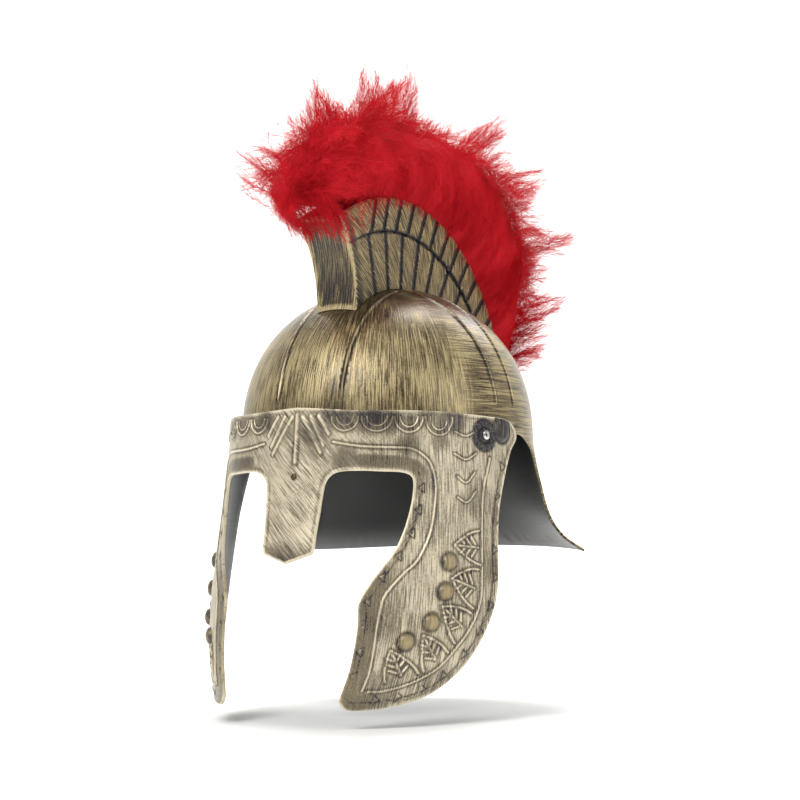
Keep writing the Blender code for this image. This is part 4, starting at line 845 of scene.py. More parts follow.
# Columns: turn as a share of a quarter turn, zone, drop into that zone as a share, corner.
PLATE_EDGE = (
    (0.000, "band", -0.060, False), (0.142, "band", -0.020, False), (0.256, "band", 0.000, False),
    (0.420, "band", 0.002, False), (0.580, "band", 0.010, False), (0.700, "band", 0.035, False),
    (0.813, "band", 0.060, False), (0.885, "band", 0.072, False), (0.935, "band", 0.120, False),
    (0.968, "band", 0.230, False), (0.978, "band", 0.360, False), (0.966, "band", 0.460, False),
    (0.930, "band", 0.650, False), (0.882, "cheek", 0.037, False), (0.846, "cheek", 0.172, False),
    (0.831, "cheek", 0.315, False), (0.827, "cheek", 0.424, False), (0.814, "cheek", 0.552, False),
    (0.776, "cheek", 0.680, False), (0.744, "cheek", 0.764, False), (0.700, "cheek", 0.847, False),
    (0.632, "cheek", 0.925, False), (0.565, "cheek", 0.965, False), (0.488, "cheek", 0.987, False),
    (0.400, "cheek", 1.000, False), (0.310, "cheek", 0.998, False), (0.276, "cheek", 0.965, True),
    (0.283, "cheek", 0.905, False), (0.290, "cheek", 0.830, False), (0.293, "cheek", 0.740, False),
    (0.293, "cheek", 0.650, False), (0.288, "cheek", 0.565, True), (0.303, "cheek", 0.522, False),
    (0.340, "cheek", 0.448, False), (0.402, "cheek", 0.340, False), (0.429, "cheek", 0.275, False),
    (0.451, "cheek", 0.198, False), (0.466, "cheek", 0.120, False), (0.471, "cheek", 0.050, False),
    (0.460, "cheek", 0.018, False), (0.420, "cheek", 0.003, False), (0.344, "cheek", 0.000, False),
    (0.263, "cheek", -0.003, False), (0.182, "nasal", 0.002, False), (0.145, "nasal", 0.050, False),
    (0.127, "nasal", 0.130, False), (0.121, "nasal", 0.240, False), (0.113, "nasal", 0.480, False),
    (0.107, "nasal", 0.720, False), (0.106, "nasal", 0.840, False), (0.098, "nasal", 0.895, True),
    (0.000, "nasal", 1.000, False),
)
# Raised lines of the left half. Columns: turn share, zone, drop share.
EYE_LINE = (
    (0.155, "band", 0.520), (0.230, "band", 0.575), (0.300, "band", 0.600), (0.418, "band", 0.613),
    (0.467, "band", 0.636), (0.507, "band", 0.732), (0.536, "band", 0.861), (0.552, "cheek", 0.017),
    (0.558, "cheek", 0.066), (0.555, "cheek", 0.131), (0.546, "cheek", 0.208),
    (0.528, "cheek", 0.289), (0.490, "cheek", 0.378), (0.446, "cheek", 0.428),
    (0.408, "cheek", 0.478), (0.378, "cheek", 0.530), (0.366, "cheek", 0.590),
    (0.361, "cheek", 0.685), (0.361, "cheek", 0.795), (0.360, "cheek", 0.870),
    (0.352, "cheek", 0.921),
)
RIM_LINE = (
    (0.375, "cheek", 0.924), (0.431, "cheek", 0.922), (0.520, "cheek", 0.893),
    (0.604, "cheek", 0.836), (0.663, "cheek", 0.747), (0.711, "cheek", 0.654),
    (0.741, "cheek", 0.552), (0.747, "cheek", 0.438), (0.751, "cheek", 0.323),
    (0.754, "cheek", 0.241), (0.767, "cheek", 0.085), (0.792, "band", 0.972),
    (0.808, "band", 0.760),
)
CENTRE_LINE = ((0.000, "band", 0.060), (0.000, "band", 0.420), (0.000, "band", 0.850))
PALM_STROKES = (
    ((0.020, "band", 0.090), (0.066, "band", 0.420), (0.103, "band", 0.700)),
    ((0.055, "band", 0.090), (0.088, "band", 0.370), (0.113, "band", 0.570)),
    ((0.088, "band", 0.090), (0.112, "band", 0.240), (0.132, "band", 0.390)),
)
VINE_STROKES = (
    ((0.640, "band", 0.330), (0.690, "band", 0.400), (0.730, "band", 0.340)),
    ((0.640, "band", 0.700), (0.690, "band", 0.790), (0.740, "band", 0.680)),
    ((0.650, "cheek", 0.020), (0.690, "cheek", 0.045), (0.730, "cheek", 0.000)),
    ((0.650, "cheek", 0.110), (0.690, "cheek", 0.130), (0.735, "cheek", 0.080)),
)
# Half moons under the band's top edge. Columns: turns of the two ends, drop share.
SCALLOPS = (
    (0.142, 0.250, 0.335), (0.262, 0.384, 0.345), (0.394, 0.507, 0.360), (0.518, 0.632, 0.400),
)
# Leaves. Columns: turn and drop shares of the tip and of the base's two corners.
LEAVES = (
    (0.633, 0.314, 0.742, 0.254, 0.742, 0.400),
    (0.622, 0.456, 0.732, 0.420, 0.712, 0.586),
    (0.589, 0.574, 0.703, 0.606, 0.651, 0.730),
    (0.528, 0.693, 0.632, 0.770, 0.556, 0.846),
    (0.422, 0.755, 0.538, 0.852, 0.426, 0.886),
)
STUDS = ((0.612, 0.385), (0.598, 0.512), (0.552, 0.640), (0.470, 0.720))
# Notches along the border. Columns: turn share, zone, drop share, which way the point turns.
TEETH = (
    (0.868, "band", 0.890, 1), (0.830, "cheek", 0.100, 1), (0.811, "cheek", 0.215, 1),
    (0.803, "cheek", 0.335, 1), (0.800, "cheek", 0.455, 1), (0.778, "cheek", 0.575, 1),
    (0.737, "cheek", 0.685, 1), (0.690, "cheek", 0.780, 1), (0.630, "cheek", 0.868, 1),
    (0.560, "cheek", 0.920, 1), (0.480, "cheek", 0.948, 1), (0.400, "cheek", 0.960, 1),
    (0.318, "cheek", 0.860, -1), (0.324, "cheek", 0.760, -1), (0.324, "cheek", 0.660, -1),
    (0.330, "cheek", 0.550, -1), (0.375, "cheek", 0.450, -1), (0.430, "cheek", 0.360, -1),
    (0.475, "cheek", 0.265, -1), (0.500, "cheek", 0.165, -1), (0.512, "cheek", 0.070, -1),
)


def plate_surface(flat):
    turn = flat[:, 0] / PLATE_HALF_WIDTH
    width, reach = plate_axes(-flat[:, 1])
    across = width * arc_power(np.sin(turn), PLATE_ROUNDNESS)
    along = reach * arc_power(np.cos(turn), PLATE_ROUNDNESS)
    return np.stack([across, -along, CROWN + flat[:, 1]], 1)


ZONES = {
    "band": (BAND_DROP, BAND_HEIGHT),
    "nasal": (BROW_DROP, NASAL_LENGTH),
    "cheek": (BROW_DROP, CHEEK_LENGTH),
}


def plate_place(turn, zone, share):
    """Pattern place of a turn share and a share of the way down a zone."""
    top, length = ZONES[zone]
    return np.array([PLATE_HALF_WIDTH * QUARTER * turn, -top - length * share])


def zone_drop(zone, share):
    return ZONES[zone][0] + ZONES[zone][1] * share


def plate_path(rows, step=1.2 * MM):
    return smooth_path([plate_place(*row[:3]) for row in rows], step)


print(len(PLATE_EDGE), "points make half of the plate's outline")

# %% Lines, leaves and studs as strokes and rounds
MOON_TOP = 0.11
MOON_INSET = 3.4 * MM
PETALS = 11


def scallop_path(first, last, depth, inset=0.0):
    """A half moon that hangs between two turns of the band."""
    a = plate_place(first, "band", MOON_TOP)
    b = plate_place(last, "band", MOON_TOP)
    turn = np.linspace(0, pi, 26)
    reach = np.array([(b[0] - a[0]) / 2, BAND_HEIGHT * (depth - MOON_TOP)]) - inset
    return (a + b) / 2 - np.stack([np.cos(turn), np.sin(turn)], 1) * reach


def leaf_paths(row):
    """A leaf's two curved sides, each followed by its three bars, and then its rib."""
    tip = plate_place(row[0], "cheek", row[1])
    corners = [plate_place(row[2], "cheek", row[3]), plate_place(row[4], "cheek", row[5])]
    root = (corners[0] + corners[1]) / 2
    rib = root - tip
    t = np.linspace(0, 1, 22)[:, None]
    paths = []
    for corner in corners:
        side = corner - root
        paths.append(bowed(tip, (corner + tip) / 2 + side * 0.38, corner, t))
        for share, reach in ((0.32, 0.40), (0.54, 0.50), (0.76, 0.54)):
            inner = tip + rib * (share + 0.06) + side * 0.14
            outer = tip + rib * (share - 0.10) + side * reach
            paths.append(inner + (outer - inner) * t[::3])
    paths.append(tip + rib * (0.12 + 0.83 * t[::2]))
    return paths


def leaf_loop(row):
    """The shaded half of a leaf, between its first side and that side's last bar."""
    side, *bars = leaf_paths(row)[:4]
    return np.vstack([side, bars[-1][::-1]])


def stretch_at(place):
    """How much wider the sheet is than its pattern at a place."""
    ends = plate_surface(np.array([place - [MM, 0], place + [MM, 0]]))
    return np.linalg.norm(ends[1] - ends[0]) / (2 * MM)


def sheet_distance(flat, centre):
    """Distances from a place of the pattern, measured on the bent sheet."""
    return np.hypot((flat[:, 0] - centre[0]) * stretch_at(centre), flat[:, 1] - centre[1])


def left_strokes():
    """The strokes of the plate's left half as (path, half width, height)."""
    strokes = [
        (plate_path(EYE_LINE), LINE_WIDTH / 2, LINE_HEIGHT),
        (plate_path(RIM_LINE), LINE_WIDTH / 2, LINE_HEIGHT),
    ]
    strokes += [(plate_path(rows), LINE_WIDTH * 0.65, LINE_HEIGHT) for rows in PALM_STROKES]
    strokes += [(plate_path(rows), ORNAMENT_WIDTH / 2, ORNAMENT_HEIGHT) for rows in VINE_STROKES]
    strokes += [(scallop_path(*row), ORNAMENT_WIDTH / 2, ORNAMENT_HEIGHT) for row in SCALLOPS]
    strokes += [
        (scallop_path(*row, inset=MOON_INSET), ORNAMENT_WIDTH * 0.4, ORNAMENT_HEIGHT * 0.6)
        for row in SCALLOPS
    ]
    for row in LEAVES:
        strokes += [(path, ORNAMENT_WIDTH * 0.60, ORNAMENT_HEIGHT) for path in leaf_paths(row)]
    return strokes


def rosette_rounds():
    """The rosette's boss and its ring of petals as (centre, radius, height, flat share)."""
    centre = plate_place(ROSETTE_TURN, "band", ROSETTE_DROP)
    rounds = [(centre, BOSS_RADIUS / 0.75, ROSETTE_HEIGHT, 0.75)]
    petal = (ROSETTE_RADIUS - BOSS_RADIUS / 0.75) / 2
    reach = BOSS_RADIUS / 0.75 + petal
    stretch = stretch_at(centre)
    for i in range(PETALS):
        turn = 2 * pi * i / PETALS
        spot = centre + np.array([cos(turn) * reach / stretch, sin(turn) * reach])
        rounds.append((spot, petal * 0.98, ROSETTE_HEIGHT * 0.8, 0.0))
    return rounds


def left_rounds():
    places = [plate_place(turn, "cheek", drop) for turn, drop in STUDS]
    rounds = [(place, STUD_RADIUS, STUD_HEIGHT, 0.0) for place in places]
    rounds.append((plate_place(LOBE_TURN, "band", LOBE_DROP), LOBE_RADIUS, LOBE_HEIGHT, 0.0))
    return rounds + rosette_rounds()


def round_loop(centre, radius, share):
    turn = np.linspace(0, 2 * pi, max(13, int(radius * share * 2 * pi / (1.2 * MM))))
    across = np.cos(turn) * radius * share / stretch_at(centre)
    return centre + np.stack([across, np.sin(turn) * radius * share], 1)


def tooth_loop(turn, zone, share, way):
    centre = plate_place(turn, zone, share)
    return closed(np.array([[0, 0.75], [0, -0.75], [way, 0]]) * TOOTH_LENGTH + centre)


MIRRORS = (np.array([1.0, 1.0]), np.array([-1.0, 1.0]))
strokes = [(plate_path(CENTRE_LINE), LINE_WIDTH * 0.65, LINE_HEIGHT * 1.3)]
rounds, teeth, leaves, moons = [], [], [], []
for mirror in MIRRORS:
    strokes += [(path * mirror, half, height) for path, half, height in left_strokes()]
    rounds += [(centre * mirror, *sizes) for centre, *sizes in left_rounds()]
    teeth += [tooth_loop(*row) * mirror for row in TEETH]
    leaves += [leaf_loop(row) * mirror for row in LEAVES]
    moons += [scallop_path(*row) * mirror for row in SCALLOPS]
print(len(strokes), "strokes,", len(rounds), "rounds and", len(teeth), "notches")


# %% Draw and bend the face plate
def tooth_height(points, corners):
    """A notch's raised triangle: its height grows with the distance to its sides."""
    return np.clip(path_distance(points, corners) / (0.9 * MM), 0, 1)


def plate_lift(flat, away):
    bead = EDGE_BEAD_HEIGHT * rounded(away - EDGE_BEAD_WIDTH / 2, EDGE_BEAD_WIDTH / 2)
    height = np.where(away < EDGE_BEAD_WIDTH / 2, EDGE_BEAD_HEIGHT, bead)
    for path, half, tall in strokes:
        chosen, distance = near_path(flat, path, 2 * half)
        at_least(height, tall * rounded(distance, half), chosen)
    for centre, radius, tall, flat_share in rounds:
        share = sheet_distance(flat, centre) / radius
        if flat_share:
            swell = tall * np.clip((1 - share) / (1 - flat_share), 0, 1)
        else:
            swell = tall * np.sqrt(np.clip(1 - share**2, 0, 1))
        at_least(height, swell)
    for corners in teeth:
        within = np.flatnonzero(inside(flat, corners[:-1]))
        at_least(height, TOOTH_HEIGHT * tooth_height(flat[within], corners), within)
    return height


half_outline = smooth_path(
    [plate_place(*row[:3]) for row in PLATE_EDGE], EDGE_STEP, [row[3] for row in PLATE_EDGE]
)
plate_outline = np.vstack([half_outline, mirrored(half_outline[-2:0:-1])])[::-1]
drawn = [closed(offset_loop(plate_outline, EDGE_BEAD_WIDTH))]
for path, half, tall in strokes:
    drawn += [path, *feet_of(path, half)]
for centre, radius, tall, flat_share in rounds:
    drawn += [round_loop(centre, radius, share) for share in (1.0, flat_share or 0.85)]
drawn += teeth
points, triangles, flat, is_inner = moulded_wall(
    plate_outline, drawn, plate_surface, plate_lift, PLATE_WALL
)
plate = mesh_piece("face_shell", points, triangles, [face_finish, bare_black], is_inner)

# %% Paint the face plate
away = path_distance(flat, closed(plate_outline))
turn_share = np.abs(flat[:, 0]) / (PLATE_HALF_WIDTH * QUARTER)
drop = -flat[:, 1]

# A dark line runs inside the rim, and a second one down the cheeks' notched border.
wash_and_shade = 0.35 * soft_line(away, 2.6 * MM, 0.8 * MM)
notched = (drop > BROW_DROP) & (turn_share > 0.25)
at_least(wash_and_shade, 0.75 * notched * soft_line(away, 4.6 * MM, 0.6 * MM))
worn = 0.75 * np.clip(1 - away / (1.5 * MM), 0, 1)
warm = np.zeros(len(flat))
# Dark patches on the side that shows: painted shade mixed with thinly brushed paint. Columns: place,
# radius in mm, depth.
SHADE_PATCHES = (
    (0.20, "band", 0.12, 10, 0.66), (0.29, "band", 0.08, 12, 0.80), (0.37, "band", 0.18, 9, 0.62),
    (0.53, "band", 0.05, 9, 0.50), (0.64, "band", 0.10, 12, 0.60), (0.07, "band", 0.36, 11, 0.60),
    (0.45, "band", 0.55, 8, 0.45), (0.58, "band", 0.50, 7, 0.40), (0.14, "band", 0.10, 9, 0.55),
    (-0.16, "band", 0.15, 9, 0.55), (-0.42, "band", 0.20, 9, 0.50),
    (-0.06, "band", 0.30, 9, 0.30), (-0.30, "band", 0.10, 12, 0.30), (0.20, "band", 0.80, 9, 0.30),
    (0.73, "cheek", 0.12, 13, 0.26), (0.36, "cheek", 0.62, 15, 0.24),
    (0.42, "cheek", 0.94, 15, 0.28), (0.79, "cheek", 0.42, 11, 0.26),
    (0.62, "cheek", 0.88, 12, 0.22),
)
for turn, zone, share, radius, depth in SHADE_PATCHES:
    distance = sheet_distance(flat, plate_place(turn, zone, share))
    at_least(wash_and_shade, depth * smooth_share(1.35 - distance / (radius * MM)))
# Raised lines wore bright on top and kept the dark wash beside them.
for path, half, tall in strokes:
    chosen, distance = near_path(flat, path, 4 * half)
    at_least(wash_and_shade, 0.72 * soft_line(distance, half * 1.25, 0.5 * MM), chosen)
    at_least(worn, 0.9 * rounded(distance, half * 1.05), chosen)
for loops, depth in ((leaves, 0.66), (moons, 0.42)):
    for loop in loops:
        cell = np.flatnonzero(inside(flat, loop))
        at_least(wash_and_shade, depth * (1 - worn[cell]), cell)
for corners in teeth:
    chosen, distance = near_path(flat, corners, 3 * MM)
    within = inside(flat[chosen], corners[:-1])
    at_least(wash_and_shade, np.where(within, 0, 0.85 * soft_line(distance, 0, 0.7 * MM)), chosen)
# Studs are gold with a worn top; painted shade darkens their sides and a ring round their foot.
SHADE_FOOT = 1.02
for centre, radius, tall, flat_share in rounds:
    share = sheet_distance(flat, centre) / radius
    shaded_side = 0.55 * smooth_share((share - 0.6) / 0.4)
    stud_shade = np.where(share < SHADE_FOOT, shaded_side, 0.7 * soft_line(share, SHADE_FOOT, 0.16))
    at_least(wash_and_shade, stud_shade * (share < 1.6))
    at_least(warm, 0.9 * (share < 1))
    at_least(worn, 0.2 * np.clip(1 - share / 0.5, 0, 1))
# The border between the eye line and the eye is gold over the eye and dark down the cheek.
eye_loop = plate_path(EYE_LINE)
for mirror in MIRRORS:
    distance = path_distance(flat, eye_loop * mirror)
    own_half = flat[:, 0] * mirror[0] > 0
    within = smooth_share((14 * MM - distance) / (3 * MM))
    within *= smooth_share((17 * MM - away - distance) / (2 * MM))
    within *= own_half * smooth_share((11 * MM - away) / (2 * MM))
    level = (drop - BROW_DROP) / CHEEK_LENGTH
    over_eye = within * smooth_share((0.10 - level) / 0.14)
    over_eye *= smooth_share((0.60 - turn_share) / 0.14)
    down_cheek = within * smooth_share((level - 0.30) / 0.20)
    down_cheek *= smooth_share((0.46 - turn_share) / 0.10)
    at_least(warm, np.maximum(0.95 * over_eye, 0.75 * down_cheek))
    at_least(wash_and_shade, np.maximum(0.46 * over_eye, 0.36 * down_cheek))
# The rosette and the lobe behind it were left almost bare; the lobe's top caught some gold.
for centre, reach, depth in (
    (plate_place(ROSETTE_TURN, "band", ROSETTE_DROP), ROSETTE_RADIUS * 1.08, 0.86),
    (plate_place(LOBE_TURN, "band", LOBE_DROP), LOBE_RADIUS * 1.2, 0.85),
):
    for mirror in MIRRORS:
        share = sheet_distance(flat, centre * mirror) / reach
        bare = np.clip((1.05 - share) / 0.12, 0, 1)
        at_least(wash_and_shade, depth * bare * (1 - 0.35 * worn))
        worn *= 1 - 0.45 * bare
# The nasal darkens towards its tip, and painted shade darkens the band beside the fan of bars on the
# side that shows.
nasal_tip = np.clip((drop - zone_drop("nasal", 0.74)) / (0.2 * NASAL_LENGTH), 0, 1)
nasal_tip *= (turn_share < 0.13) & (away > 1.5 * MM)
fan_shade = soft_line(turn_share, 0.085, 0.05) * (flat[:, 0] > 0)
fan_shade *= np.clip(1 - np.abs(drop - zone_drop("band", 0.45)) / (0.45 * BAND_HEIGHT), 0, 1)
at_least(wash_and_shade, np.maximum(0.55 * nasal_tip, 0.5 * fan_shade * (worn < 0.3)))
# The brush went slantwise on the brow and the nasal, and down the cheeks.
slant = np.clip(1.25 - turn_share / 0.36, 0, 1)
give_paint(plate, flat_grain(flat), paint_amounts(wash_and_shade, warm, worn, slant))
dress(plate, "face_plate")

# %% [markdown]
# ## The crest holder
# A tall hollow fin stands on the dome and grips the feathers. Its sides are ribbed in two
# tiers, so each side is drawn flat in side view with the grooves as lines, and then bent to
# the fin's lean. A plain panel closes each end.

# %% The crest's side view
CREST_WALL = 2.0 * MM
CREST_HEIGHT = 61.1 * MM
CREST_ARC_DROP = 97.7 * MM
CREST_ARC_BACK = -6.7 * MM
CREST_FRONT = 65.5 * MM
CREST_LEAN = 25.5 * MM
CREST_REAR_TURN = 76.0
CREST_HALF = 15.5 * MM
CREST_TIER_STEP = 1.4 * MM
CREST_TAPER = 0.10
CREST_FOOT_DROP = 22.0 * MM
TIER_HEIGHT = 23.1 * MM
TIER_ARC_DROP = 108.8 * MM
TIER_ARC_BACK = -10.5 * MM
GROOVE_HALF, GROOVE_DEPTH = 2.1 * MM, 0.9 * MM
UPPER_RIB_PITCH, LOWER_RIB_PITCH, FIRST_RIB_TURN = 6.3, 9.0, -14.0
CHANNEL_DEPTH = 10.0 * MM
CORNER_RADIUS = 1.0 * MM
SEAT_GAP = 0.4 * MM
CREST_RADIUS = CREST_HEIGHT + CREST_ARC_DROP
TIER_RADIUS = CREST_HEIGHT - TIER_HEIGHT + TIER_ARC_DROP
CREST_CENTRE = np.array([CREST_ARC_BACK, CROWN - CREST_ARC_DROP])
TIER_CENTRE = np.array([TIER_ARC_BACK, CROWN - TIER_ARC_DROP])


def ring_point(centre, turn, radius):
    """Side view places on a ring, turns in degrees back from the top."""
    turn = np.radians(turn)
    return centre + np.stack([np.sin(turn), np.cos(turn)], -1) * np.asarray(radius)[..., None]


def crest_front(z):
    """The front panel's place in side view at a height."""
    share = (z - CROWN + CREST_FOOT_DROP) / (CREST_HEIGHT + 2 * MM)
    return -CREST_FRONT - CREST_LEAN * np.clip(share, 0, None) ** 2.6


def crest_half(z):
    """Half the crest's width at a height."""
    return CREST_HALF * (1 + CREST_TAPER * (z - CROWN) / CREST_HEIGHT)


def above_dome(x, y, z):
    """Above 0 outside the dome."""
    reach = np.where(y < 0, HEAD_FRONT, HEAD_REAR)
    ring = np.abs(x / HEAD_HALF_WIDTH) ** PLAN_ROUNDNESS + np.abs(y / reach) ** PLAN_ROUNDNESS
    rise = np.clip(1 - (CROWN - z) / DOME_HEIGHT, 0, None) ** DOME_ROUNDNESS
    return ring ** (DOME_ROUNDNESS / PLAN_ROUNDNESS) + rise - 1


def just_above(place, low, high):
    """Where places between low and high leave the dome, found by halving, and a small gap on."""
    for _ in range(40):
        middle = (low + high) / 2
        under = above_dome(*place(middle)) < 0
        low = np.where(under, middle, low)
        high = np.where(under, high, middle)
    return high + SEAT_GAP


def seat_radius(x, turn):
    """Distance from the crest's centre to the dome along a turn, at a place across."""
    low, high = np.full_like(turn, 0.3 * DOME_HEIGHT), np.full_like(turn, 2 * DOME_HEIGHT)
    return just_above(lambda radius: (x, *ring_point(CREST_CENTRE, turn, radius).T), low, high)


def front_seat(x):
    """Height at which the front panel meets the dome, at a place across."""
    low, high = np.full_like(x, CROWN - 0.5 * DOME_HEIGHT), np.full_like(x, CROWN + 10 * MM)
    return just_above(lambda z: (x, crest_front(z), z), low, high)


def turn_of(spot):
    """A side view place's turn about the crest's centre, in degrees back from the top."""
    return degrees(atan2(spot[0] - CREST_CENTRE[0], spot[1] - CREST_CENTRE[1]))


def crest_top():
    """Height at which the front panel meets the top arc."""
    z = np.linspace(CROWN, CROWN + CREST_HEIGHT, 2000)
    away = np.hypot(crest_front(z) - CREST_CENTRE[0], z - CREST_CENTRE[1])
    return float(z[np.argmax(away > CREST_RADIUS)])


TOP_Z = crest_top()
FOOT_Z = float(front_seat(np.array([CREST_HALF]))[0])
print("the crest's front runs from", round(FOOT_Z / MM, 1), "to", round(TOP_Z / MM, 1), "mm")

# %% Draw the ribbed side
CREST_STEP = 1.3 * MM


def side_outline():
    front_z = np.linspace(FOOT_Z, TOP_Z, 44)
    front = np.stack([crest_front(front_z), front_z], 1)
    top_turns = np.linspace(turn_of(front[-1]), CREST_REAR_TURN, 200)
    top = ring_point(CREST_CENTRE, top_turns, CREST_RADIUS)
    turns = np.linspace(CREST_REAR_TURN, turn_of(front[0]), 150)
    radius = seat_radius(np.full_like(turns, CREST_HALF), turns)
    under = ring_point(CREST_CENTRE, turns, radius)
    rear = np.linspace(top[-1], under[0], 24)
    loop = np.vstack([front[:-1], top[:-1], rear[:-1], under[:-1]])
    return loop[::-1]


def groove_lines():
    """The middle of every groove between the ribs, in side view."""
    upper = np.arange(FIRST_RIB_TURN, CREST_REAR_TURN - 3, UPPER_RIB_PITCH)
    lower = np.arange(FIRST_RIB_TURN - 2.4, CREST_REAR_TURN - 6, LOWER_RIB_PITCH)
    lines = []
    for turn in upper:
        inner = ring_point(TIER_CENTRE, turn - 1.5, TIER_RADIUS + 0.4 * MM)
        outer = ring_point(CREST_CENTRE, turn, CREST_RADIUS + 1.0 * MM)
        lines.append(np.linspace(inner, outer, 22))
    for turn in lower:
        inner = ring_point(TIER_CENTRE, turn, TIER_RADIUS - 44 * MM)
        outer = ring_point(TIER_CENTRE, turn, TIER_RADIUS - 0.4 * MM)
        lines.append(np.linspace(inner, outer, 40))
    return lines


def side_surface(flat):
    y, z = flat[:, 0], flat[:, 1]
    away = y - crest_front(z)
    turn = np.clip(1 - away / CORNER_RADIUS, 0, 1) * QUARTER / 2
    x = crest_half(z) - CORNER_RADIUS * (1 - np.cos(turn))
    y = y + np.where(away < CORNER_RADIUS, CORNER_RADIUS * (1 - np.sin(turn)) - away, 0)
    return np.stack([x, y, z], 1)


grooves = groove_lines()
side_loop = side_outline()


def side_lift(flat, away):
    from_tier = np.hypot(*(flat - TIER_CENTRE).T) - TIER_RADIUS
    from_front = flat[:, 0] - crest_front(flat[:, 1])
    from_top = CREST_RADIUS - np.hypot(*(flat - CREST_CENTRE).T)
    height = CREST_TIER_STEP * smooth_share(from_tier / (0.5 * MM) + 0.5)
    height *= smooth_share(from_front / (4 * MM)) * smooth_share(away / (1.5 * MM) + 0.3)
    for path in grooves:
        chosen, distance = near_path(flat, path, 2 * GROOVE_HALF)
        height[chosen] -= GROOVE_DEPTH * smooth_share((GROOVE_HALF - distance) / (0.5 * MM))
    under_tier = soft_line(from_tier, -0.6 * MM, 0.5 * MM)
    height -= 0.8 * MM * under_tier * (from_front > 3 * MM)
    return height - 0.5 * MM * np.clip(1 - from_top / (0.9 * MM), 0, 1) ** 2


shown_grooves = [path[inside(path, side_loop)] for path in grooves]
shown_grooves = [path for path in shown_grooves if len(path) > 3]
drawn = []
for path in shown_grooves:
    drawn += feet_of(path, GROOVE_HALF) + feet_of(path, GROOVE_HALF - 0.5 * MM)
for shift in (-0.25, 0.25, -1.2):
    arc = ring_point(TIER_CENTRE, np.linspace(-40, 100, 240), TIER_RADIUS + shift * MM)
    drawn.append(arc[inside(arc, side_loop)])
drawn = [line[inside(line, side_loop)] for line in drawn]
drawn = [line for line in drawn if len(line) > 1]
side_points, side_triangles, side_flat, side_inner = moulded_wall(
    side_loop, drawn, side_surface, side_lift, CREST_WALL, CREST_STEP, ease=False
)
print(len(shown_grooves), "grooves,", len(side_triangles), "triangles a side")

# %% Paint the sides and close the ends
groove_wash = np.zeros(len(side_flat))
rib_edge = np.zeros(len(side_flat))
for path in grooves:
    chosen, distance = near_path(side_flat, path, 4 * GROOVE_HALF)
    dark = smooth_share((GROOVE_HALF + 0.2 * MM - distance) / (0.5 * MM))
    at_least(groove_wash, dark, chosen)
    at_least(rib_edge, 0.5 * soft_line(distance, GROOVE_HALF + 0.5 * MM, 0.5 * MM), chosen)
from_tier = np.hypot(*(side_flat - TIER_CENTRE).T) - TIER_RADIUS
from_front = side_flat[:, 0] - crest_front(side_flat[:, 1])
from_top = CREST_RADIUS - np.hypot(*(side_flat - CREST_CENTRE).T)
side_wash_and_shade = 0.9 * groove_wash
# The hollow under the upper tier is dark: wash in the hollow, and painted shade under its overhang.
at_least(side_wash_and_shade, 1.2 * soft_line(from_tier, -0.5 * MM, 0.9 * MM))
at_least(side_wash_and_shade, 0.55 * soft_line(from_front, 5 * MM, 4 * MM))
side_worn = rib_edge * (groove_wash < 0.1)
at_least(side_worn, 0.9 * (from_front < 1.6 * MM))
at_least(side_worn, 0.5 * (from_top < 1.2 * MM))
side_turn = np.arctan2(side_flat[:, 0] - CREST_CENTRE[0], side_flat[:, 1] - CREST_CENTRE[1])
side_grain = np.stack([
    CREST_RADIUS - from_top, side_turn * CREST_RADIUS * 0.9, np.zeros(len(side_flat))
], 1)
side_paint = paint_amounts(side_wash_and_shade, 0.35, side_worn, 1.0)


def front_surface(flat):
    x, z = flat[:, 0], flat[:, 1]
    half = crest_half(z)
    away = half - np.abs(x)
    turn = np.clip(1 - away / CORNER_RADIUS, 0, 1) * QUARTER / 2
    across = np.where(away < CORNER_RADIUS, half - CORNER_RADIUS * (1 - np.sin(turn)), np.abs(x))
    y = crest_front(z) + CORNER_RADIUS * (1 - np.cos(turn))
    return np.stack([np.sign(x) * across, y, z], 1)


PANEL_RIM = 1.5 * MM
panel_z = np.linspace(FOOT_Z, TOP_Z, 44)
right_edge = np.stack([crest_half(panel_z), panel_z], 1)
bottom_x = np.linspace(-CREST_HALF, CREST_HALF, 26)
bottom = np.stack([bottom_x * crest_half(FOOT_Z) / CREST_HALF, front_seat(bottom_x)], 1)
bottom[[0, -1], 1] = FOOT_Z
top_edge = np.stack([np.linspace(1, -1, 26) * crest_half(TOP_Z), np.full(26, TOP_Z)], 1)
panel_loop = np.vstack([
    bottom[:-1], right_edge[:-1], top_edge[:-1], mirrored(right_edge)[::-1][:-1]
])


def panel_lift(flat, away):
    return 0.5 * MM * smooth_share((PANEL_RIM + 0.5 * MM - away) / MM)


panel_points, panel_triangles, panel_flat, panel_inner = moulded_wall(
    panel_loop, [closed(offset_loop(panel_loop, PANEL_RIM))], front_surface, panel_lift,
    CREST_WALL, CREST_STEP, ease=False,
)
panel_away = path_distance(panel_flat, closed(panel_loop))
from_foot = panel_flat[:, 1] - front_seat(np.clip(panel_flat[:, 0], -CREST_HALF, CREST_HALF))
middle = smooth_share((panel_away - PANEL_RIM * 0.6) / (3 * MM))
middle *= smooth_share((from_foot - 2.4 * MM) / (2 * MM))
panel_paint = paint_amounts(0.42 * middle, 0.5, 0.55 * (1 - middle), 0.0)


def rear_surface(flat):
    y, z = ring_point(CREST_CENTRE, CREST_REAR_TURN, flat[:, 1]).T
    return np.stack([-flat[:, 0], y, z], 1)


def half_at_rear(radius):
    return crest_half(CREST_CENTRE[1] + radius * cos(radians(CREST_REAR_TURN)))


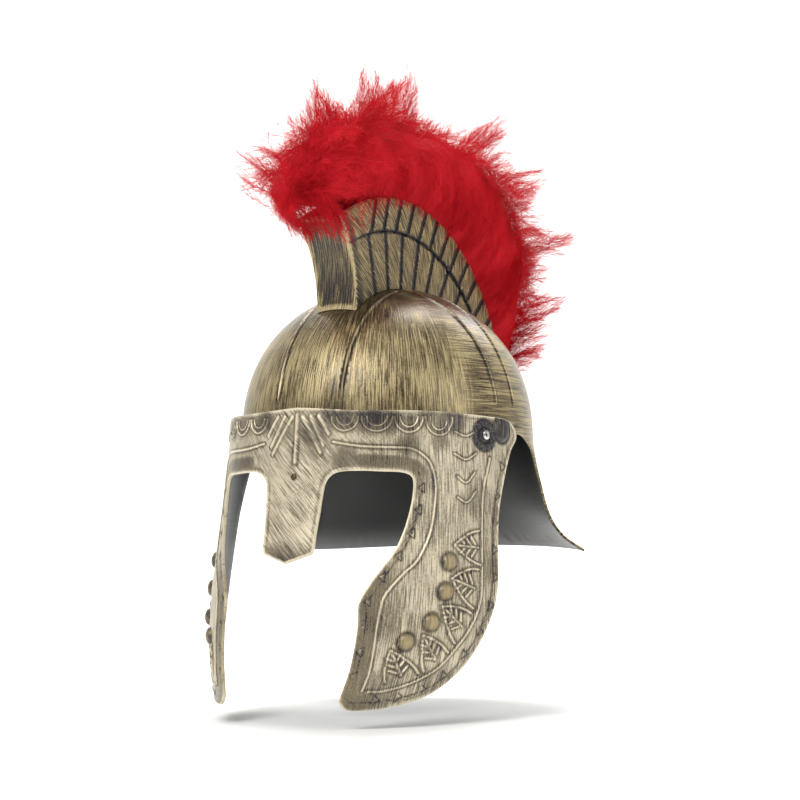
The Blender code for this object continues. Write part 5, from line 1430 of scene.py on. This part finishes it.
rear_low = float(seat_radius(np.array([CREST_HALF]), np.array([CREST_REAR_TURN]))[0])
rear_radii = np.linspace(rear_low, CREST_RADIUS, 24)
rear_side = np.stack([half_at_rear(rear_radii), rear_radii], 1)
rear_ends = [
    np.stack([np.linspace(a, b, 20) * half_at_rear(r), np.full(20, r)], 1)
    for a, b, r in ((-1, 1, rear_low), (1, -1, CREST_RADIUS))
]
rear_loop = np.vstack([
    rear_ends[0][:-1], rear_side[:-1], rear_ends[1][:-1], mirrored(rear_side)[::-1][:-1]
])
rear_points, rear_triangles, rear_flat, rear_inner = moulded_wall(
    rear_loop, [], rear_surface, lambda flat, away: np.zeros(len(flat)), CREST_WALL, 3 * MM,
    ease=False,
)
rear_paint = np.tile([0.3, 0.4, 0.1, 0.0], (len(rear_flat), 1))


def channel_floor():
    """The floor of the feathers' channel, a curved strip between the sides."""
    first = turn_of((crest_front(TOP_Z), TOP_Z))
    turns = np.linspace(first + 1.5, CREST_REAR_TURN - 0.5, 60)
    rings = []
    for radius in (CREST_RADIUS - CHANNEL_DEPTH, CREST_RADIUS - CHANNEL_DEPTH - CREST_WALL):
        spots = ring_point(CREST_CENTRE, turns, radius)
        half = crest_half(spots[:, 1]) - CREST_WALL * 0.5
        for sign in (1, -1):
            rings.append(np.stack([sign * half, spots[:, 0], spots[:, 1]], 1))
    points = np.vstack([rings[0], rings[1], rings[3], rings[2]])
    count = len(turns)
    faces = []
    for k in range(4):
        a, b = k * count, (k + 1) % 4 * count
        for i in range(count - 1):
            faces += [(a + i, b + i, b + i + 1), (a + i, b + i + 1, a + i + 1)]
    last = count - 1
    faces += [(0, 2 * count, count), (0, 3 * count, 2 * count)]
    faces += [(last, last + count, last + 2 * count), (last, last + 2 * count, last + 3 * count)]
    return points, np.array(faces)


flip = np.array([-1.0, 1.0, 1.0])
floor_points, floor_triangles = channel_floor()
parts = [
    (side_points, side_triangles, side_inner, side_grain, side_paint),
    (side_points * flip, side_triangles[:, ::-1], side_inner, side_grain, side_paint),
    (panel_points, panel_triangles, panel_inner, flat_grain(panel_flat), panel_paint),
    (rear_points, rear_triangles, rear_inner, flat_grain(rear_flat), rear_paint),
    (
        floor_points, floor_triangles, np.ones(len(floor_triangles), bool), floor_points,
        np.tile([0.5, 0.4, 0.0, 0.0], (len(floor_points), 1)),
    ),
]
starts = np.cumsum([0] + [len(part[0]) for part in parts])
crest = mesh_piece(
    "crest_shell",
    np.vstack([part[0] for part in parts]),
    np.vstack([part[1] + start for part, start in zip(parts, starts)]),
    [crest_finish, bare_black],
    np.concatenate([part[2] for part in parts]),
)
give_paint(crest, np.vstack([part[3] for part in parts]), np.vstack([part[4] for part in parts]))
dress(crest, "crest_holder")

# %% [markdown]
# ## Two eyelets and a rivet
# Nickel-plated eyelets at the temples and a small brass rivet at the brow hold the face plate
# to the skull. Each is turned round its own axis, so a short profile spun about that axis is
# the whole piece.

# %% Spin a profile about an axis
ROUND_SIDES = 40
DEEPEST_TAIL = 30.0


def plate_axis(place):
    """Where an axis leaves the plate's face, and its outward direction."""
    spot = np.atleast_2d(place)
    return plate_surface(spot)[0], facing(plate_surface, spot)[0]


def tail_depth(base, axis):
    """How far behind the plate's face a tail clears the skull's inner face."""
    for depth in np.arange(2.0, DEEPEST_TAIL, 0.1) * MM:
        spot = base - axis * (depth - SKULL_WALL)
        width, front, rear = (float(v) for v in skull_axes(np.array(CROWN - spot[2])))
        reach = front if spot[1] < 0 else rear
        if abs(spot[0] / width) ** PLAN_ROUNDNESS + abs(spot[1] / reach) ** PLAN_ROUNDNESS < 1:
            return depth
    return DEEPEST_TAIL * MM


def turned(name, profile, base, axis, material):
    """A closed profile of (radius, height) in millimetres spun about an axis."""
    across = np.cross(axis, [0.0, 0.0, 1.0])
    across /= np.linalg.norm(across)
    other = np.cross(axis, across)
    spin = 2 * pi * np.arange(ROUND_SIDES) / ROUND_SIDES
    spokes = np.cos(spin)[:, None] * across + np.sin(spin)[:, None] * other
    rings = [base + spokes * radius * MM + axis * height * MM for radius, height in profile]
    count = len(profile)
    faces = []
    for i in range(count):
        a, b = i * ROUND_SIDES, (i + 1) % count * ROUND_SIDES
        for j in range(ROUND_SIDES):
            k = (j + 1) % ROUND_SIDES
            faces += [(a + j, a + k, b + k), (a + j, b + k, b + j)]
    return mesh_piece(name, np.vstack(rings), np.array(faces), [material], angle=40)


def bare_metal(name, colour, roughness):
    values = {"Base Color": linear(colour), "Metallic": 1.0, "Roughness": roughness}
    return new_material(name, values)[0]


nickel = bare_metal("nickel_plated_steel", "#C9C9C6", 0.16)
brass = bare_metal("aged_brass", "#5E4E38", 0.42)
print("metals:", nickel.name, brass.name)

# %% Place the eyelets and the rivet
RIVET_DROP = 131.8 * MM
HEAD = ROSETTE_HEIGHT / MM + 0.3
for name, sign in (("temple_eyelet_left", 1), ("temple_eyelet_right", -1)):
    place = plate_place(ROSETTE_TURN, "band", ROSETTE_DROP) * np.array([sign, 1.0])
    base, axis = plate_axis(place)
    tail = tail_depth(base, axis) / MM + 1.0
    profile = (
        (0.9, -tail - 0.5), (0.95, HEAD + 0.15), (1.15, HEAD + 0.6), (1.5, HEAD + 0.8),
        (1.85, HEAD + 0.66), (2.15, HEAD + 0.36), (2.8, HEAD + 0.26), (3.0, HEAD + 0.12),
        (2.95, HEAD), (1.6, HEAD), (1.6, -tail), (2.6, -tail), (2.7, -tail - 0.25),
        (2.3, -tail - 0.6), (1.4, -tail - 0.8),
    )
    piece = turned(name + "_ring", profile, base, axis, nickel)
    dress(piece, name)
base, axis = plate_axis((0.0, -RIVET_DROP))
tail = tail_depth(base, axis) / MM + 0.6
profile = (
    (0.01, -tail - 0.8), (0.01, 1.2), (0.9, 1.1), (1.6, 0.85), (2.1, 0.45), (2.2, 0.3),
    (1.2, 0.3), (1.2, -tail), (1.9, -tail), (1.7, -tail - 0.5), (1.0, -tail - 0.75),
)
dress(turned("brow_rivet_head", profile, base, axis, brass), "brow_rivet")

# %% [markdown]
# ## The plume
# The plume is dyed marabou down: short shafts, each carrying long soft barbs that lie along
# it and fan out at its tip. More than two thousand shafts are laid out here as plain edges
# from the crest's channel. Geometry Nodes then follow each one and set a tapered barb every fraction
# of a millimetre, because that is how a real feather grows.

# %% Colour the down
down, tree, shader = new_material("dyed_marabou_down", {
    "Roughness": 0.85, "IOR": 1.55, "Specular IOR Level": 0.25,
    "Sheen Weight": 0.15, "Sheen Roughness": 0.5, "Sheen Tint": linear("#FF2A3C"),
})
tint = add_node(tree, "ShaderNodeAttribute", attribute_name="tint").outputs["Fac"]
along = add_node(tree, "ShaderNodeAttribute", attribute_name="along").outputs["Fac"]
# Painted shade: barbs are a darker red at their roots, inside the mass, and brighter at their tips.
shaded_root_colour = mixed(tree, tint, linear("#C00A1A"), linear("#CC0E20"))
lit_tip_colour = mixed(tree, tint, linear("#D00E20"), linear("#DC1628"))
colour = mixed(tree, along, shaded_root_colour, lit_tip_colour)
tree.links.new(colour, shader.inputs["Base Color"])
print("down has", len(tree.nodes), "nodes")

# %% Lay out the shafts
PLUME_REACH = 100 * MM
FRONT_TURN, REAR_TURN = -37.0, 71.0
HEART_WIDTH, HEART_DEPTH, HEART_SINK = 30 * MM, 26 * MM, 4 * MM
# The heart's depth along the crest. Columns: turn in degrees, share of its full depth.
HEART_GIRTH = (
    (-37, 1.05), (-20, 1.12), (0, 1.06), (14, 1.22), (28, 1.48), (45, 1.44), (58, 1.14), (72, 0.84)
)
SHAFT_POINTS = 12
# How many shafts make the mass, lie over the heart, and fall over the crest's flanks, over its
# panel and over the panel's corners.
MASS_SHAFTS, LYING_SHAFTS = ((700, 720))
FLANK_SHAFTS, PANEL_SHAFTS, CORNER_SHAFTS = ((130, 60, 44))
# Tufts that stand out of the mass. Columns: turn and lean in degrees, length as a share.
TUFTS = (
    (-38.0, -41.0, 0.68), (-40.0, 12.0, 0.52), (-30.0, 42.0, 0.62), (-15.0, -17.0, 0.72),
    (-4.2, 1.0, 0.93), (4.8, 6.0, 1.01), (13.0, 14.0, 0.75), (25.5, 30.0, 1.08),
    (27.0, -28.0, 0.92), (40.3, 34.5, 0.88), (41.0, -36.0, 0.86), (57.0, 42.0, 0.66),
    (58.0, -44.0, 0.66), (70.0, 55.0, 0.46), (70.0, -55.0, 0.46), (34.0, 58.0, 0.94),
    (48.0, 62.0, 0.90), (54.0, 24.0, 0.93), (63.0, 40.0, 0.90), (70.0, 30.0, 0.78),
    (50.0, -14.0, 0.95), (63.0, -24.0, 0.88), (-12.0, 40.0, 0.84), (-22.0, 4.0, 0.84),
)
# How far the mass reaches. Columns: turn or lean in degrees, reach or its share.
MASS_REACH = (
    (-40, 0.74), (-20, 0.78), (0, 0.72), (15, 0.82), (28, 1.02), (45, 0.98), (58, 0.80), (74, 0.60)
)
LEAN_SHARE = ((-100, 0.64), (-70, 0.78), (-36, 0.94), (0, 1.0), (36, 0.96), (70, 0.80), (100, 0.66))


def spread(turn, lean):
    """The outward direction of a feather from its turn and lean."""
    turn, lean = np.radians(turn), np.radians(lean)
    return np.stack([np.sin(lean), np.sin(turn) * np.cos(lean), np.cos(turn) * np.cos(lean)], -1)


def heart_girth(turn):
    return table(HEART_GIRTH, turn)


def heart_seat(turn):
    return HEART_DEPTH * heart_girth(turn) - HEART_SINK


def heart_place(turn):
    y, z = ring_point(CREST_CENTRE, turn, CREST_RADIUS + heart_seat(turn)).T
    return np.stack([0 * y, y, z], -1)


def heart_bulk(turn):
    """The heart's share of its full girth, which draws in at both ends."""
    share = (np.asarray(turn) - FRONT_TURN) / (REAR_TURN - FRONT_TURN)
    return np.sqrt(np.clip(1 - np.abs(2 * share - 1) ** 3.2, 0, 1))


def heart_skin(turn, lean):
    """Distance from the heart's middle to its skin."""
    lean = np.radians(lean)
    depth = HEART_DEPTH * heart_girth(turn)
    width = HEART_WIDTH * np.sqrt(heart_girth(turn))
    return heart_bulk(turn) / np.sqrt((np.cos(lean) / depth) ** 2 + (np.sin(lean) / width) ** 2)


steps = np.linspace(0, 1, SHAFT_POINTS)


def standing(turn, lean, share, bend):
    """A bowed shaft that stands out from the heart's skin."""
    heart = heart_place(turn)
    reach = share * PLUME_REACH - float(heart_seat(turn)) * cos(radians(lean))
    root = heart + spread(turn, lean * 0.8) * heart_skin(turn, lean) * 0.8
    tip = heart + spread(turn, lean) * reach
    knee = (root + tip) / 2 + (spread(turn, lean * 0.4) * 0.12 + bend) * reach
    return bowed(root, knee, tip, steps[:, None])


def lying(turn, first, last, drift, lift):
    """A shaft that lies over the heart's skin, from one lean to another, and lifts at its tip."""
    turns = turn + drift * steps
    leans = first + (last - first) * steps
    away = heart_skin(turns, leans) + 1 * MM + lift * steps**1.5
    return heart_place(turns) + spread(turns, leans) * away[:, None]


def hanging(turn, side, drop, out):
    """A shaft that hangs from the heart's side over the crest's flank."""
    root = heart_place(turn) + spread(turn, side * 84.0) * heart_skin(turn, 84.0)
    y, z = ring_point(CREST_CENTRE, turn, np.array(CREST_RADIUS) - drop)
    tip = np.array([side * (CREST_HALF + out), y, z])
    knee = (root + tip) / 2 + np.array([side * 7 * MM, 0, 0])
    return bowed(root, knee, tip, steps[:, None])


def over_panel(x, drop, out):
    """A shaft that falls from the heart's front over the top of the front panel."""
    root = heart_place(-33.0) + np.array([x * 0.8, -8 * MM, 2 * MM])
    z = TOP_Z - drop
    tip = np.array([x, float(crest_front(z)) - out, z])
    knee = np.array([x, min(root[1], tip[1]) - 9 * MM, (root[2] + tip[2]) / 2 + 6 * MM])
    return bowed(root, knee, tip, steps[:, None])


chance = np.random.default_rng(41)
shafts = []
for turn, lean, share in TUFTS:
    for _ in range(14 + int(80 * max(0.0, share - 0.6))):
        jitter = chance.normal(0, 1, 2)
        bend = chance.normal(0, 0.05, 3)
        length = share * max(0.50, 1.05 - 0.23 * np.hypot(*jitter))
        row = standing(turn + 3.2 * jitter[0], lean + 7.5 * jitter[1], length, bend)
        shafts.append((turn, row, 0.85))
for _ in range(MASS_SHAFTS):
    turn = chance.uniform(FRONT_TURN, REAR_TURN)
    lean = chance.uniform(-98, 98)
    share = float(table(MASS_REACH, turn)) * float(table(LEAN_SHARE, lean)) - 0.07
    share *= chance.uniform(0.80, 1.02)
    bend = chance.normal(0, 0.10, 3)
    shafts.append((turn, standing(turn, lean, share, bend), 0.72))
for _ in range(LYING_SHAFTS):
    turn = chance.uniform(FRONT_TURN + 2, REAR_TURN - 1)
    side = chance.choice((-1, 1))
    first = chance.uniform(-30, 112)
    last = min(first + chance.uniform(35, 62), 158)
    drift = chance.uniform(1, 8) * (-1.4 if turn < -14 else 1)
    lift = chance.uniform(1, 12) * MM * (1 if last < 115 else 0.4)
    shafts.append((turn, lying(turn, side * first, side * last, drift, lift), 0.66))
# Short feathers fall over the crest's flanks, most of all near the front, and over its panel.
for _ in range(FLANK_SHAFTS):
    turn = chance.uniform(FRONT_TURN + 3, 62)
    near_front = max(0.0, 1 - (turn + 34) / 30)
    drop = chance.uniform(-3, 5 + 20 * near_front) * MM
    row = hanging(turn, chance.choice((-1, 1)), drop, chance.uniform(3, 8) * MM)
    shafts.append((turn, row, 0.5))
for _ in range(PANEL_SHAFTS):
    row = over_panel(*(chance.uniform((-17, 0, 2), (17, 15, 7)) * MM))
    shafts.append((-30.0, row, 0.5))
for _ in range(CORNER_SHAFTS):
    x, drop, out = chance.uniform((13, -4, 0), (22, 9, 5)) * MM
    shafts.append((-30.0, over_panel(x * chance.choice((-1, 1)), drop, out), 0.5))
# The last feathers at the rear bow in, so that the plume keeps to the room the part gives it.
REAR_EASE = 165 * MM
for _, row, _ in shafts:
    row[:, 1] -= 0.5 * np.maximum(row[:, 1] - REAR_EASE, 0)
print(len(shafts), "shafts")

# %% Grow barbs along the shafts
BARB_SPACING = 0.52 * MM
BARB_HALF_WIDTH = 0.115 * MM
BARB_LENGTH = 21 * MM
BARB_WAVE = 4 * MM
# Three barbs that curl a different way. Columns: middle and end across, as shares of length.
BARB_CURLS = ((0.08, -0.22), (-0.06, 0.12), (0.02, 0.34))


def tree_input(tree, name, kind, value=None):
    socket = tree.interface.new_socket(name, in_out="INPUT", socket_type=kind)
    if value is not None:
        socket.default_value = value
    return socket.identifier


def random_value(tree, low, high, seed, offset):
    """A random number for every barb, from the tree's seed."""
    own = add_node(tree, "FunctionNodeIntegerMath", {1: offset}, {0: seed}, operation="ADD")
    node = add_node(
        tree, "FunctionNodeRandomValue", {2: low, 3: high}, {8: own.outputs[0]}, data_type="FLOAT"
    )
    return node.outputs[1]


def named_value(tree, name):
    node = add_node(tree, "GeometryNodeInputNamedAttribute", {"Name": name}, data_type="FLOAT")
    return node.outputs["Attribute"]


def barb_shapes(tree, half_width):
    """The three barbs, 1 metre long up Z, as instances to pick from."""
    width = add_node(tree, "ShaderNodeCombineXYZ", None, {0: half_width}).outputs[0]
    other = maths(tree, "MULTIPLY", half_width, -1.0)
    other = add_node(tree, "ShaderNodeCombineXYZ", None, {0: other}).outputs[0]
    profile = add_node(tree, "GeometryNodeCurvePrimitiveLine", None, {"Start": other, "End": width})
    share = add_node(tree, "GeometryNodeSplineParameter").outputs["Factor"]
    taper = maths(tree, "SUBTRACT", 1.0, maths(tree, "MULTIPLY", share, 0.82))
    joined = add_node(tree, "GeometryNodeJoinGeometry")
    for middle, end in BARB_CURLS:
        curve = add_node(
            tree, "GeometryNodeCurveQuadraticBezier",
            {
                "Resolution": 3, "Start": (0, 0, 0),
                "Middle": (middle, 0, 0.5), "End": (end, 0, 0.97),
            },
        )
        marked = add_node(
            tree, "GeometryNodeStoreNamedAttribute", {"Name": "along"},
            {"Geometry": curve.outputs[0], "Value": share}, data_type="FLOAT", domain="POINT",
        )
        ribbon = add_node(
            tree, "GeometryNodeCurveToMesh", {"Fill Caps": False},
            {"Curve": marked.outputs[0], "Profile Curve": profile.outputs[0], "Scale": taper},
        )
        single = add_node(tree, "GeometryNodeGeometryToInstance", None, {0: ribbon.outputs[0]})
        tree.links.new(single.outputs[0], joined.inputs[0])
    return joined.outputs[0]


def marabou_tree():
    """A tree that grows barbs on edges; it is named for what it makes."""
    tree = bpy.data.node_groups.new("marabou", "GeometryNodeTree")
    tree.is_modifier = True
    tree.interface.new_socket("Geometry", in_out="OUTPUT", socket_type="NodeSocketGeometry")
    tree_input(tree, "Geometry", "NodeSocketGeometry")
    inputs = (
        ("Barb Spacing", "NodeSocketFloat", BARB_SPACING),
        ("Barb Half Width", "NodeSocketFloat", BARB_HALF_WIDTH),
        ("Barb Length", "NodeSocketFloat", BARB_LENGTH),
        ("Wave", "NodeSocketFloat", BARB_WAVE),
        ("Seed", "NodeSocketInt", 0),
    )
    names = {name: tree_input(tree, name, kind, value) for name, kind, value in inputs}
    given = add_node(tree, "NodeGroupInput").outputs
    seed = given["Seed"]
    curves = add_node(tree, "GeometryNodeMeshToCurve", None, {"Mesh": given["Geometry"]})
    spaced = add_node(
        tree, "GeometryNodeResampleCurve", None,
        {"Curve": curves.outputs[0], "Length": given["Barb Spacing"]}, mode="LENGTH",
    )
    points = add_node(
        tree, "GeometryNodeCurveToPoints", None, {"Curve": spaced.outputs[0]}, mode="EVALUATED"
    )
    share = named_value(tree, "share")
    # Barbs stand off the shaft near its root and lie along it at its tip.
    lean = maths(tree, "SUBTRACT", 1.0, maths(tree, "MULTIPLY", share, 0.50))
    lean = maths(tree, "ADD", lean, random_value(tree, -0.22, 0.22, seed, 1))
    spin = random_value(tree, 0.0, 2 * pi, seed, 2)
    angles = add_node(tree, "ShaderNodeCombineXYZ", None, {"Y": lean, "Z": spin})
    tilt = add_node(tree, "FunctionNodeEulerToRotation", None, {0: angles.outputs[0]})
    facing_way = add_node(
        tree, "FunctionNodeRotateRotation", None,
        {"Rotation": points.outputs["Rotation"], "Rotate By": tilt.outputs[0]},
        rotation_space="LOCAL",
    )
    length = maths(tree, "MULTIPLY", given["Barb Length"], named_value(tree, "barb"))
    length = maths(tree, "MULTIPLY", length, random_value(tree, 0.45, 1.1, seed, 3))
    size = add_node(tree, "ShaderNodeCombineXYZ", {"Y": 1.0}, {"X": length, "Z": length})
    which = add_node(
        tree, "FunctionNodeRandomValue", {4: 0, 5: len(BARB_CURLS) - 1}, {8: seed}, data_type="INT"
    )
    barbs = add_node(
        tree, "GeometryNodeInstanceOnPoints", {"Pick Instance": True},
        {
            "Points": points.outputs["Points"],
            "Instance": barb_shapes(tree, given["Barb Half Width"]),
            "Instance Index": which.outputs[2],
            "Rotation": facing_way.outputs[0],
            "Scale": size.outputs[0],
        },
    )
    tinted = add_node(
        tree, "GeometryNodeStoreNamedAttribute", {"Name": "tint"},
        {"Geometry": barbs.outputs[0], "Value": random_value(tree, 0.0, 1.0, seed, 4)},
        data_type="FLOAT", domain="INSTANCE",
    )
    real = add_node(tree, "GeometryNodeRealizeInstances", None, {"Geometry": tinted.outputs[0]})
    ripple = add_node(
        tree, "ShaderNodeTexNoise", {"Scale": 34.0, "Detail": 2.0},
        {"Vector": add_node(tree, "GeometryNodeInputPosition").outputs[0]},
    )
    swing = add_node(
        tree, "ShaderNodeVectorMath", {1: (-0.5, -0.5, -0.5)}, {0: ripple.outputs["Color"]}
    )
    push = add_node(
        tree, "ShaderNodeVectorMath", None, {0: swing.outputs[0], "Scale": given["Wave"]},
        operation="SCALE",
    )
    waved = add_node(
        tree, "GeometryNodeSetPosition", None,
        {"Geometry": real.outputs[0], "Offset": push.outputs[0]},
    )
    painted = add_node(
        tree, "GeometryNodeSetMaterial", {"Material": down}, {"Geometry": waved.outputs[0]}
    )
    add_node(tree, "NodeGroupOutput", None, {0: painted.outputs[0]})
    return tree, names


marabou, marabou_inputs = marabou_tree()
print("marabou takes", ", ".join(marabou_inputs))

# %% Turn the shafts into feathers


def shaft_mesh(name, rows):
    """Shafts as loose edges, with each point's share of its shaft and its barb's length."""
    mesh = bpy.data.meshes.new(name)
    points = np.vstack([row for row, _ in rows])
    edges = [
        (i * SHAFT_POINTS + j, i * SHAFT_POINTS + j + 1)
        for i in range(len(rows)) for j in range(SHAFT_POINTS - 1)
    ]
    mesh.from_pydata(points.tolist(), edges, [])
    share = np.tile(np.linspace(0, 1, SHAFT_POINTS), len(rows))
    barb = np.repeat([length for _, length in rows], SHAFT_POINTS)
    give_attribute(mesh, "share", "FLOAT", share)
    give_attribute(mesh, "barb", "FLOAT", barb * (0.55 + 0.45 * np.sin(pi * share)))
    return mesh


def grown(name, rows, seed):
    """The feathers of one stretch of the crest as a plain mesh."""
    piece = placed(name, shaft_mesh(name + "_shafts", rows))
    modifier = piece.modifiers.new("marabou", "NODES")
    modifier.node_group = marabou
    modifier[marabou_inputs["Seed"]] = seed
    graph = bpy.context.evaluated_depsgraph_get()
    mesh = bpy.data.meshes.new_from_object(piece.evaluated_get(graph))
    piece.modifiers.remove(modifier)
    piece.data = mesh
    mesh.name = name
    mesh.shade_smooth()
    return piece


STRETCHES = (
    ("front", -90, -25), ("brow", -25, -3), ("crown", -3, 24), ("rear", 24, 46), ("tail", 46, 90)
)
for number, (stretch, first, last) in enumerate(STRETCHES):
    rows = [(row, barb) for turn, row, barb in shafts if first <= turn < last]
    piece = grown("plume_" + stretch, rows, 10 * number + 3)
    dress(piece, "plume")

# %% [markdown]
# Under the barbs the plume has a dense heart, where the feathers' bases are tied together.
# It keeps light from passing between them, so a plain rounded body is enough.

# %% The plume's heart
HEART_STATIONS, HEART_SIDES = 40, 28


def plume_heart():
    """A smooth oval body along the crest's channel."""
    stations, sides = HEART_STATIONS, HEART_SIDES
    turns = np.linspace(FRONT_TURN, REAR_TURN, stations + 2)[1:-1]
    around = np.degrees(2 * pi * np.arange(sides) / sides)
    points = [
        heart_place(turn) + spread(turn, around) * heart_skin(turn, around)[:, None]
        for turn in turns
    ]
    faces = []
    for i in range(stations - 1):
        for j in range(sides):
            k = (j + 1) % sides
            a, b = i * sides, (i + 1) * sides
            faces += [(a + j, b + j, b + k), (a + j, b + k, a + k)]
    ends = [ring.mean(0) for ring in (points[0], points[-1])]
    first = stations * sides
    for j in range(sides):
        k = (j + 1) % sides
        faces += [(j, k, first), (first - sides + j, first + 1, first - sides + k)]
    points = np.vstack([*points, ends])
    piece = mesh_piece("plume_heart", points, np.array(faces), [down], angle=180)
    # The heart takes a colour close to the barbs' darker roots, as painted shade inside the mass.
    for key, value in (("tint", 0.4), ("along", 0.2)):
        give_attribute(piece.data, key, "FLOAT", np.full(len(points), value))
    return piece


dress(plume_heart(), "plume")
